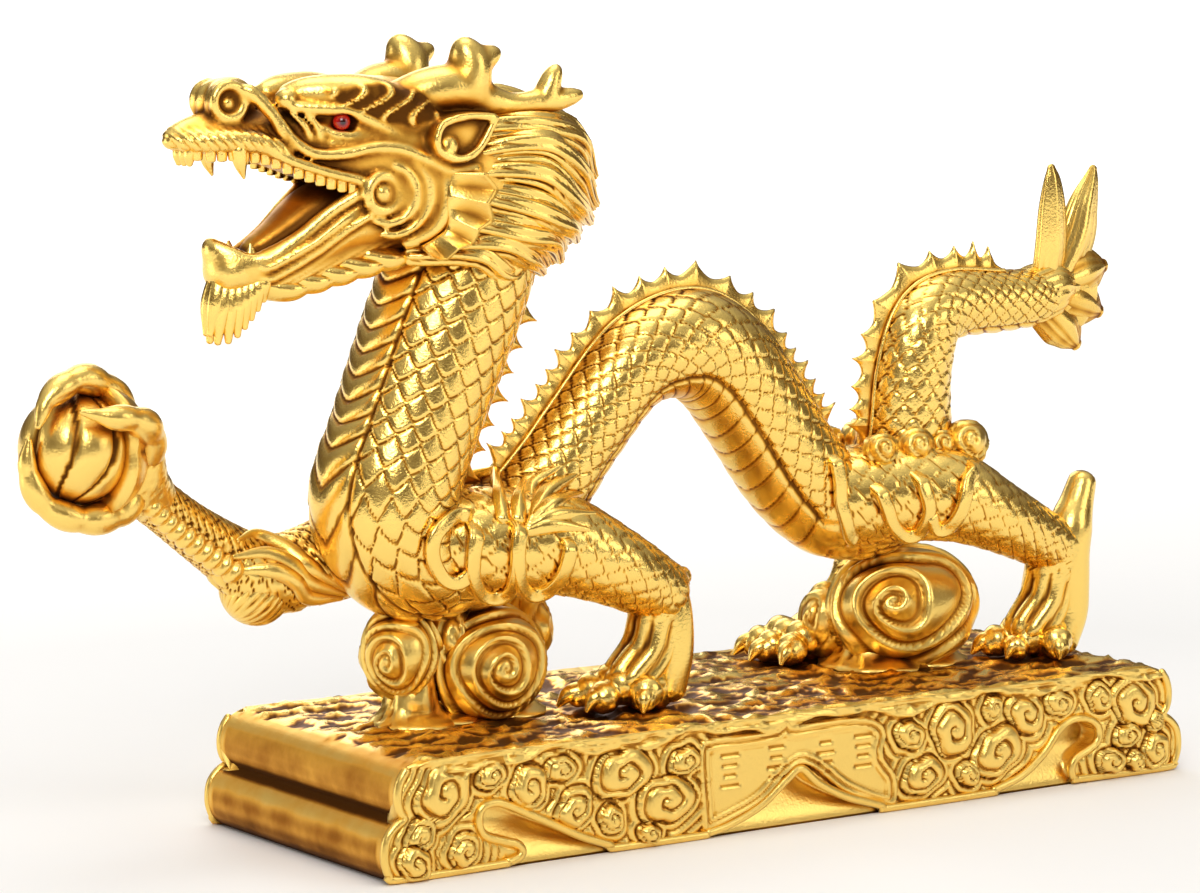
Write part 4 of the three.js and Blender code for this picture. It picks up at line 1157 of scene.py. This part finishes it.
# %% Carve hair, brow flames and jaw lines
BROW = [[-124, 187], [-119, 183.2], [-109, 179], [-101, 177.4], [-93, 180], [-97, 186], [-108, 189]]
FUR_RISE, JOWL_RISE, FLAME_RISE, LINE_RISE = 0.7, 0.6, 0.9, 0.5
JAW_LINE = 3
x, y, z = head_points.T
from_gape = outline_gap(x, z, GAPE)
on_lip = held(1 - np.abs((z - 175) / 4.2)) * held((-128 - x) / 6)
on_jowl = held(1 - np.abs((z - 140 - 0.3 * (x + 125)) / 5)) * held((-98 - x) / 6) * held((x + 136) / 6)
on_brow = held(-outline_gap(x, z, BROW) / 1.2) * held((np.abs(y) - 5) / 2)
on_jaw = (held((from_gape - 1) / 1.5) * held((9 - from_gape) / 3) * held((162 - z) / 3)
          * held((-111 - x) / 3) * held((x + 138) / 3))
lip_fur = np.abs(np.sin((x * 1.5 + z * 1.1))) - 0.5
jowl_hair = np.abs(np.sin(x * 0.9 - z * 1.6)) - 0.5
brow_flames = np.exp(-((np.sin((x - 0.7 * z) * 0.46 + 1.1 * np.sin(0.6 * z)) / 0.36) ** 2))
jaw_lines = np.cos(TURN * from_gape / JAW_LINE)
relief = (FUR_RISE * on_lip * lip_fur + JOWL_RISE * on_jowl * jowl_hair
          + FLAME_RISE * on_brow * brow_flames + LINE_RISE * on_jaw * jaw_lines)
head_points = head_points + net_normals(head_points, head_quads) * relief[:, None]
print("carving rises", round(float(relief.max()), 2), "mm at most")

# %% Tone the head and paint shade inside the mouth
WIDE_STEPS, DEPTH_UNIT = 7, 0.3
wide_mean = head_points
for _ in range(WIDE_STEPS):
    wide_mean = neighbour_mean(wide_mean, head_quads)
depth = np.sum((wide_mean - head_points) * net_normals(head_points, head_quads), axis=1)
# Painted shade inside the mouth: the gape is browned where shade falls in it. The brow's brown ground
# between its gold flames is tone.
mouth = held((0.6 - from_gape) / 1.5) * held((11.5 - np.abs(y)) / 2) * held((x + 142) / 6)
brow_tone_and_mouth_shade = on_brow * (1.5 - 2 * brow_flames) + 0.9 * mouth
head_skin = {"points": head_points, "quads": head_quads, "fans": np.zeros((0, 3), int),
             "hollow": np.clip(depth / DEPTH_UNIT, -0.6, 1.3) + brow_tone_and_mouth_shade}
dragon_piece("head", [head_skin], tone_and_painted_shade=0.35, satin=0.03)

# %% [markdown]
# ## Teeth, beard, pointed collar and mane
# These stand free of the clay, so they are tubes again: short cones for teeth, and tapering locks
# with fine grooves for the hair, laid over one another from the cheek back to the nape. Hair
# particles would be too fine for a casting, whose locks are a few millimetres thick. The collar
# behind the jaw is one pleated sheet between a root line and a line of points.

# %% Teeth
GUM_X = np.array([-153, -150, -143, -135, -129, -120, -113])
GUM_Z = np.array([174.0, 173.4, 173.6, 172.2, 169.2, 166.2, 164.4])
GUM_Y = np.array([3.2, 5.4, 7.2, 8.6, 10.2, 12.2, 13.8])
TEETH_X = np.linspace(-152, -115, 15)
FAR_TEETH_RISE = 1.4
FRONT_TEETH_Y = (-2.6, 0, 2.6)
tooth_parts = []
for side in (NEAR, FAR):
    for x in TEETH_X:
        y = side * np.interp(x, GUM_X, GUM_Y)
        z = np.interp(x, GUM_X, GUM_Z) + (FAR_TEETH_RISE if side == FAR else 0)
        tooth_parts.append(tube([[x, y, z + 0.6, 1.4], [x, y, z - 1.4, 1.4], [x, y, z - 2.9, 1.25]], 6, 12,
                                flat=(1, 0.75), dome=0.3))
    tooth_parts.append(tube([[-143, side * 7.6, 173, 2.1], [-142.6, side * 7.8, 169.6, 1.6],
                             [-141.6, side * 7.6, 166.4, 0.4]], 16, 16))
    tooth_parts.append(tube([[-138.2, side * 5.6, 145.6, 3.2], [-138.4, side * 5.4, 147.6, 1.9],
                             [-138.6, side * 5.2, 150.4, 0.4]], 16, 16, flat=(1, 0.6)))
for y in FRONT_TEETH_Y:
    front_tooth = [[-153, y, 174, 1.7], [-153.4, y, 171.6, 1.5], [-153.4, y, 169.8, 0.8]]
    tooth_parts.append(tube(front_tooth, 10, 14))
print("teeth and fangs:", len(tooth_parts))

# %% Lines of the hair
MANE = np.array([
    [[-86, -3, 181.5], [-70, -4, 183], [-56, -3.5, 180.5], [-46, -2, 176.5]],
    [[-88, -9, 180], [-71, -13, 180.4], [-56, -10, 178], [-44, -4.5, 173]],
    [[-88, -13, 176], [-68, -18, 177.4], [-53, -13.5, 174], [-41, -5, 167.5]],
    [[-90, -14, 169], [-67, -20.5, 171.5], [-53, -16, 166.5], [-40, -5.5, 161]],
    [[-90, -14, 163], [-68, -21, 164], [-54.5, -17, 159], [-41, -6, 153.5]],
    [[-91, -14, 157], [-70.5, -20.5, 156], [-58, -17, 151.5], [-46.5, -6.5, 147]],
    [[-94, -13, 151], [-76, -19, 149.5], [-65, -16.5, 146.5], [-55, -8, 143.2]],
    [[-98, -11, 147], [-83, -17, 145], [-74, -15.5, 143], [-64, -9, 140.6]],
])
LOCK_COUNT = 26
LOCK_RADIUS = (2.2, 2.6, 2.4, 1.0)
COLLAR_ROOTS = [[-92.6, -20.5, 166.8], [-93.3, -21.4, 160.3], [-93, -21, 153.8], [-95.6, -19.6, 151],
                [-98.6, -18, 149.1]]
COLLAR_TIPS = [[-83, -24.4, 166.6], [-81.6, -24.8, 162.4], [-82.6, -24.4, 155], [-88.5, -23.6, 149.2],
               [-95, -21.6, 145.5], [-97.6, -20.2, 145.5]]
PLEATS, COLLAR_WALL = np.linspace(-0.59, 3.43, 100), 1.3  # whole numbers fall on the points
BEARD_TIPS = [[-147.4, -1, 129], [-145.4, -2.2, 126.8], [-142, -3.8, 128.4], [-139, -5, 132],
              [-135.6, -6, 137]]
BEARD_LOCKS, TUFTS = 8, 5
NEAR_HAIR, FAR_HAIR = (7, 34), (4, 12)  # strands on a lock and columns round it
print("mane runs along", len(MANE), "guide lines")

# %% Locks and collar
def between(guides, count):
    """Lines spread evenly between guide lines: each knot runs on a smooth curve from guide to guide."""
    guides = np.asarray(guides, float)
    return np.stack([smooth_path(guides[:, k], count)[0] for k in range(guides.shape[1])], axis=1)


def lock(line, order):
    """A lock's knots: its line waved up and down, in and out by turns, with a swelling radius."""
    wave = np.sin(0.5 * order + 2.2 * np.arange(len(line))) + 0.5 * np.sin(1.9 * order)
    out = -0.9 * (order % 3 == 1)
    shift = np.column_stack([0 * wave, np.full(len(line), out), 1.5 * wave])
    return np.column_stack([line + shift, np.array(LOCK_RADIUS) * (1 - 0.2 * out)])


def ruff(side):
    """A collar of pointed petals from roots to tips: long and hollow at each point, raised between."""
    fold = 1 - 2 * np.abs(PLEATS - np.round(PLEATS))[:, None]
    root, tip = (smooth_path(line, len(PLEATS))[0] for line in (COLLAR_ROOTS, COLLAR_TIPS))
    out = np.linspace(0, 1, 10)[None]
    outer = root[:, None] + ((0.74 + 0.26 * fold) * out)[..., None] * (tip - root)[:, None]
    outer[..., 1] -= (0.4 + 1.7 * (1 - fold)) * np.sin(0.5 * np.pi * out) + 0.9 * out**6
    inner = outer[:, ::-1] + [0, COLLAR_WALL, 0]
    rings = np.concatenate([outer, inner], axis=1)[:, ::-1]
    if side == FAR:
        rings = rings[:, ::-1] * [1, -1, 1]
    collar = skin(rings, rings[0].mean(0), rings[-1].mean(0))
    dip = 1.1 * fold**2 * np.sin(np.pi * out) - 0.3
    dip = np.concatenate([dip, dip[:, ::-1]], axis=1)
    collar["hollow"][:-2] = (dip if side == FAR else dip[:, ::-1]).ravel()
    return collar


print("collar has", round(PLEATS[-1] - PLEATS[0]), "points")

# %% Mane, collar, tufts and beard
hair_parts = []
for side in (NEAR, FAR):
    for order, line in enumerate(between(MANE, LOCK_COUNT)):
        count, cols = NEAR_HAIR if side == NEAR else FAR_HAIR
        strand = tube(on_side(side, lock(line, order)), 28, cols, strands(count, 0.24))
        strand["hollow"] = 1.8 * strand["hollow"] + 0.3
        hair_parts.append(strand)
    hair_parts.append(ruff(side))
    for k in range(TUFTS):
        x, z = -131 + 6.5 * k, 138.6 + 1.6 * k
        tuft = [[x - 3, -4 - k, z + 1.6, 3], [x + 3, -6 - k, z + 0.6, 2.8], [x + 9, -7 - k, z + 1.2, 0.6]]
        hair_parts.append(tube(on_side(side, tuft), 20, 14, strands(4, 0.2)))
    for k, tip in enumerate(smooth_path(BEARD_TIPS, BEARD_LOCKS)[0]):
        root = np.array([-143.4 + 1.3 * k, -0.5 - 0.6 * k, 144.4])
        middle = 0.5 * (root + tip) + [-0.8, -0.6, 0]
        brush = [[*root, 2.2], [*middle, 2.3], [*tip, 0.8]]
        hair_parts.append(tube(on_side(side, brush), 26, 14, strands(4, 0.24)))
hair_parts.append(tube([[-76, 0, 162, 15], [-64, 0, 162, 15], [-52, 0, 159, 11]], 20, 28))
dragon_piece("teeth_and_mane", tooth_parts + hair_parts, tone_and_painted_shade=0.25)

# %% [markdown]
# ## Eyes
# Two red glass beads are set under the brows. A bead is a glossy ball with a dark pupil ringed by
# deeper red; the finish reads how far a point is from the bead's front to place them.

# %% Beads
EYE_RADIUS, EYE_PLACE, EYE_FRONT = 2.1, (-117.5, 12.4, 179.2), (-0.35, 0.93, 0)
BEAD_TONES = (
    (0.0, (0.62, 0.012, 0.01)),
    (0.55, (0.34, 0.004, 0.004)),
    (0.8, (0.03, 0.002, 0.002)),
    (1.0, (0.01, 0.001, 0.001)),
)
glass, bead, bead_shader = new_finish("red_bead")
set_sockets(bead_shader, {"Roughness": 0.06, "Coat Weight": 0.6})
reds = ramp(bead, BEAD_TONES)
bead.links.new(stored(bead, "hollow"), reds.inputs[0])
bead.links.new(reds.outputs["Color"], bead_shader.inputs["Base Color"])
for name, side in (("eye_near", NEAR), ("eye_far", FAR)):
    centre, front = (np.array(value) * [1, side, 1] for value in (EYE_PLACE, EYE_FRONT))
    ball = turned(centre, front, ball_profile(EYE_RADIUS, 24), 32)
    ball["hollow"] = held((ball["points"] - centre) @ unit(front) / EYE_RADIUS - 0.05) ** 3
    piece(name + "_bead", [ball], glass, name)

# %% [markdown]
# ## Plinth
# The plinth is a scroll with two rolled lobes at each end, a rough rock top, and a front carved
# with curling clouds, a swagged lower edge and a tablet. Such a face could be sculpted by hand, but
# its relief never undercuts. So the body is its end profile carried through the depth, with a
# shallow pocket behind each face. The carved faces are plates whose depth is one height field, and
# every curl and rim is a formula of x and z.

# %% End profile and rock
DEPTH, HEIGHT = 83.0, 29.0
FRONT = -DEPTH / 2
END_Z = np.array([0, 2, 5, 8, 11, 13.2, 14.4, 15, 15.6, 16.8, 19, 22, 25, 27.5, 29])
END_X = np.array([121.5, 124, 125.4, 125.6, 125, 123.4, 121.6, 119.6, 120.2, 121, 121.8, 121.9, 121, 119,
                  115])
ROCK_SIZES = ((7.0, 0.9), (3.6, 0.6), (1.9, 0.3))  # width and height
LATTICE, LATTICE_SHIFT = 64, 40


def end_reach(z):
    """Half length of the plinth at a height: two lobes with a groove between."""
    knots = np.column_stack([END_X, 0 * END_X, END_Z])
    path, _ = smooth_path(knots, 200)
    return np.interp(z, path[:, 2], path[:, 0])


def lattice(x, y, cell, seed):
    """Smooth random heights: seeded values on a square lattice, eased between its corners."""
    values = np.random.default_rng(seed).random((LATTICE, LATTICE))
    u, v = x / cell + LATTICE_SHIFT, y / cell + LATTICE_SHIFT
    i, j = np.floor(u).astype(int), np.floor(v).astype(int)
    a, b = ease(u - i), ease(v - j)
    corners = [[values[(i + p) % LATTICE, (j + q) % LATTICE] for p in (0, 1)] for q in (0, 1)]
    low, high = (first * (1 - a) + second * a for first, second in corners)
    return low * (1 - b) + high * b


def rocks(x, y):
    """Broken rock: ridges where a smooth random height passes a half, at three sizes, drawn out in x."""
    return sum(size * (1 - 2 * np.abs(2 * lattice(x * 0.6, y, cell, seed) - 1))
               for seed, (cell, size) in enumerate(ROCK_SIZES))


print("plinth is", 2 * END_X.max(), "mm long")

# %% Scroll body
POCKET, POCKET_ROOF, POCKET_SHARE = 6.6, 3, 0.985
SKIRT, CAP_STEP = 0.4, 0.02
END_BROWN, END_SATIN = 1.2, 0.25
low_side = np.linspace(0, HEIGHT, 44)
top_run = np.linspace(1, -1, 190)[1:-1] * end_reach(HEIGHT)
under_run = np.linspace(-1, 1, 10)[1:-1] * end_reach(0)
outline_x = np.r_[end_reach(low_side), top_run, -end_reach(low_side[::-1]), under_run]
outline_z = np.r_[low_side, np.full(len(top_run), HEIGHT), low_side[::-1], np.zeros(len(under_run))]
on_top = outline_z > HEIGHT - 0.01
depths = np.linspace(-FRONT - SKIRT, FRONT + SKIRT, 68)
depths = np.r_[depths[0] + CAP_STEP, depths, depths[-1] - CAP_STEP]
body = np.zeros((len(depths), len(outline_x), 3))
body[..., 0] = outline_x
body[..., 1] = depths[:, None]
crag = np.clip(rocks(body[..., 0], body[..., 1]), -0.8, 1.6)
body[..., 2] = outline_z + np.where(on_top, crag - 0.6, 0)
mouths = body[[0, -1]] * [POCKET_SHARE, 1, 1]
mouths[..., 2] = np.clip(mouths[..., 2], 0.05, HEIGHT - POCKET_ROOF)
pockets = mouths - [0, POCKET, 0] * np.array([1, -1])[:, None, None]
body = np.concatenate([pockets[:1], mouths[:1], body, mouths[1:], pockets[1:]])
scroll = skin(body, [0, pockets[0, 0, 1], HEIGHT / 2], [0, pockets[1, 0, 1], HEIGHT / 2])
# The ends are a plain darker brown; the rocky top is browned at random.
body_brown = np.where(on_top, 0.45 + 0.55 * lattice(body[..., 0], body[..., 1], 9.0, 7), END_BROWN)
scroll["hollow"][:-2] += body_brown.ravel()
satin_ends = np.append(np.tile(np.where(on_top, 0, END_SATIN), len(body)), [0, 0])
plinth_piece("plinth_body", [scroll], tone_and_painted_shade=0.0, satin=satin_ends)

# %% Outlines on the carved face
SWAGS = (
    [[-57, -2], [-57.8, 0.9], [-68.1, 5], [-76, 8.8], [-83.8, 12.5], [-91.5, 16], [-95.4, 16.4],
     [-98.1, 14.9], [-98.3, 11], [-96.2, 8.5], [-91.6, 6.8], [-87.6, 5.6], [-86, 4], [-86.6, 2.5],
     [-89, 1.6], [-92, 1.2], [-94, -2]],
    [[28, -2], [26.1, 1.2], [13.4, 5.4], [4, 10.1], [-1.7, 14.5], [-6.3, 12.1], [-14.4, 6.4], [-24.5, 2.6],
     [-34, 0.6], [-36, -2]],
    [[94, -2], [91.6, 0.9], [88.6, 2], [87.8, 4.4], [89.3, 6.9], [96, 10.1], [97.1, 13.9], [94.2, 16.8],
     [88.5, 17.6], [83.5, 15.4], [78.1, 9.5], [70.4, 4.3], [59.4, 1], [56, -2]],
)
TABLET = [[-32, 1.5], [-33.5, 22], [-30, 25], [-20, 25], [-9.4, 25.4], [-6.9, 27.4], [-4.3, 25.6], [11, 26],
          [21, 24.6], [25, 21], [24, 15], [28.4, 9], [27, 1.5], [13, 6.5], [-1.7, 15.6], [-14.4, 7.4],
          [-24.5, 3.6]]
tablet_edge = flat_path(TABLET + TABLET[:1], 90)[:-1]
swag_edges = [flat_path(swag, 60) for swag in SWAGS]
print("face has", len(SWAGS), "swags round a tablet")

# %% Cloud heads and tablet strokes
CURLS = (  # centre, size and way of winding of each cloud head
    (-109, 20.6, 6.4, 1), (-115.5, 10.8, 3.6, -1), (-117, 4.4, 3.8, 1), (-103, 6, 3.4, -1),
    (-95.4, 23.4, 3, 1), (-84.6, 19.2, 4.6, 1), (-75.4, 22.6, 3, -1), (-71.3, 12.4, 4.4, -1),
    (-57, 19.6, 6, 1), (-60.4, 8.6, 3, 1), (-44, 11.4, 5.8, -1), (-38.4, 20.6, 3.2, 1),
    (-49, 3.6, 2.4, 1), (37, 8.4, 4.6, 1), (32.6, 19.4, 3.4, 1), (46.6, 19.4, 5.8, -1),
    (61.6, 12, 6, 1), (52, 7, 2.8, -1), (71, 21.2, 5, -1), (60, 23.6, 2.6, 1), (82.4, 22.6, 3.2, 1),
    (96.6, 22.6, 3.4, -1), (108.6, 20.2, 6, -1), (106.4, 11.4, 3.2, 1), (101, 5, 3.4, -1),
    (116.4, 6.4, 4, 1), (109.6, 4, 2.4, -1), (116, 14.4, 2.4, 1),
)
CURL_SWELL = 1.14
STACKS, STROKES = (-24, -9.5, 6, 18), 4


def strokes_on_tablet(x, z):
    """Four short stacks of shallow level strokes; each fades as a bell with distance from its line."""
    cut = np.zeros(x.shape)
    for stack, middle in enumerate(STACKS):
        for row in range(STROKES):
            level = 20.5 - 2.6 * row + 0.5 * (stack % 2)
            reach = 2.6 - 0.5 * ((row + stack) % 3)
            gap = np.hypot(np.maximum(np.abs(x - middle) - reach, 0), z - level)
            cut = np.maximum(cut, np.exp(-((gap / 0.45) ** 2)))
    return cut


def clouds_on_face(x, z):
    """Cloud heads: domes with one spiral groove; ripples lie round each, out to the next one's."""
    nearest, rise = np.full(x.shape, 1e9), np.zeros(x.shape)
    for cx, cz, size, way in CURLS:
        radius = CURL_SWELL * size
        swing = np.arctan2(z - cz, x - cx)
        lobes = 1 + 0.14 * np.cos(2 * swing + cx) + 0.05 * np.cos(5 * swing - cx)
        off = np.hypot((x - cx) * 0.9, z - cz) / lobes
        nearest = np.minimum(nearest, off - radius)
        spiral = off / (radius * 0.6) + way * swing / TURN + 0.15
        wave = np.abs(spiral - np.round(spiral))
        dome = 1.6 + 2 * np.sqrt(held(1 - (off / radius) ** 2))
        groove = 1.2 * np.exp(-((wave / 0.13) ** 2)) * ease(off / 1.2)
        rise = np.where(off < radius, dome - groove, rise)
    ripples = 1.1 * np.abs(np.sin(np.pi * nearest / 2.4)) ** 0.7 * np.exp(-((nearest / 9) ** 2))
    return np.where(nearest < 0, rise, ripples)


print("cloud heads:", len(CURLS))

# %% Carved plates
RECESS, PLAIN_SHARE = 5.5, 0.55
PLATE_BACK, FOLD_PAINTED_LIGHT = 8.5, 1.2


def into_swags(x, z):
    """Distance to the nearest swag's outline, negative inside it."""
    return np.minimum.reduce([outline_gap(x, z, swag) for swag in swag_edges])


def carved(x, z, plain):
    """Height of the face: clouds, tablet, rocky ledge and recesses in turn."""
    rise = clouds_on_face(x, z) * (PLAIN_SHARE if plain else 1)
    ledge = 25.6 + 1.3 * np.sin(x / 7) + 0.8 * np.sin(x / 3.1 + 1)
    over = ease((z - ledge) / 0.8)
    drape = 1.5 + rocks(x, 3 * z) * 0.7
    rise = rise * (1 - over) + over * drape
    if not plain:
        gap = outline_gap(x, z, tablet_edge)
        inside = ease(0.5 - gap / 0.8)
        border = np.exp(-(((gap + 0.5) / 0.5) ** 2)) + 0.7 * np.exp(-(((gap + 2.4) / 0.35) ** 2))
        level = 0.9 + 0.9 * border - 0.6 * strokes_on_tablet(x, z)
        rise = rise * (1 - inside) + level * inside
    swag = into_swags(x, z)
    edge = np.minimum(swag, np.minimum(end_reach(z) - np.abs(x), z + 1.0))
    fold = RECESS * (0.2 + 0.8 * ease(z / 12))
    return rise * ease(edge / 2) - fold * ease(0.5 - swag / 1.4)


def plate(side, columns, levels, plain):
    """A closed plate: its carved face over a grid of x and z, its flat back inside the body."""
    z = np.linspace(HEIGHT, 0, levels)[None]
    share = np.linspace(-1, 1, columns)
    share = np.r_[share[0], share, share[-1]]
    x = share[:, None] * end_reach(z)
    z = np.broadcast_to(z, x.shape)
    y = -FRONT + carved(x, z, plain)
    y[[0, -1]] -= CAP_STEP
    face = np.stack([x, side * y, z], -1)
    back = np.full(x.shape, side * (-FRONT - PLATE_BACK))
    behind = np.stack([x[:, ::-1] * 0.97, back, z[:, ::-1]], -1)[:, :: levels // 6]
    rings = np.concatenate([face, behind], 1)
    if side == FAR:
        rings = rings[:, ::-1]
    ends = [[k * end_reach(HEIGHT / 2), side * (-FRONT - 4), HEIGHT / 2] for k in (-1, 1)]
    carving = skin(rings, *ends)
    # Painted light: inside the swags brown is taken off, so the recesses read lighter, as if lit.
    in_fold = into_swags(rings[..., 0], rings[..., 2]) < 0
    carving["hollow"][:-2] -= FOLD_PAINTED_LIGHT * in_fold.ravel()
    return carving


print("folds go in", RECESS, "mm")

# %% Rim of the carved face
RIM, RIM_INSET = 1.15, 0.6


def rim_route():
    """From the top left, down the end profile, along the foot and round each swag, up the right end."""
    falls = np.linspace(HEIGHT - 2, 2.4, 16)
    left = np.column_stack([RIM_INSET - end_reach(falls), falls])
    right = np.column_stack([end_reach(falls) - RIM_INSET, falls])[::-1]
    foot = np.array([end_reach(1.2) - 2.2, 1.1])
    inner = [edge[::-1][edge[::-1, 1] > 0.9] for edge in swag_edges]
    return np.vstack([left, foot * [-1, 1], *inner, foot, right])


def rim(side, rows):
    """A round bead that follows the face's outline."""
    return tube([[x, side * (-FRONT + 0.5), z, RIM] for x, z in rim_route()], rows, 8)


plinth_piece("plinth_front", [plate(NEAR, 520, 64, False), rim(NEAR, 640)], tone_and_painted_shade=-0.45, satin=0.08)
plinth_piece("plinth_back", [plate(FAR, 240, 34, True), rim(FAR, 400)], tone_and_painted_shade=0.0, satin=0.08)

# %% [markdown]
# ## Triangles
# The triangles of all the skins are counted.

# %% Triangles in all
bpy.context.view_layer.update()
skins_made = [mesh for mesh in bpy.data.meshes if "hollow" in mesh.attributes]
print("triangles in all", sum(len(mesh.loops) - 2 * len(mesh.polygons) for mesh in skins_made))
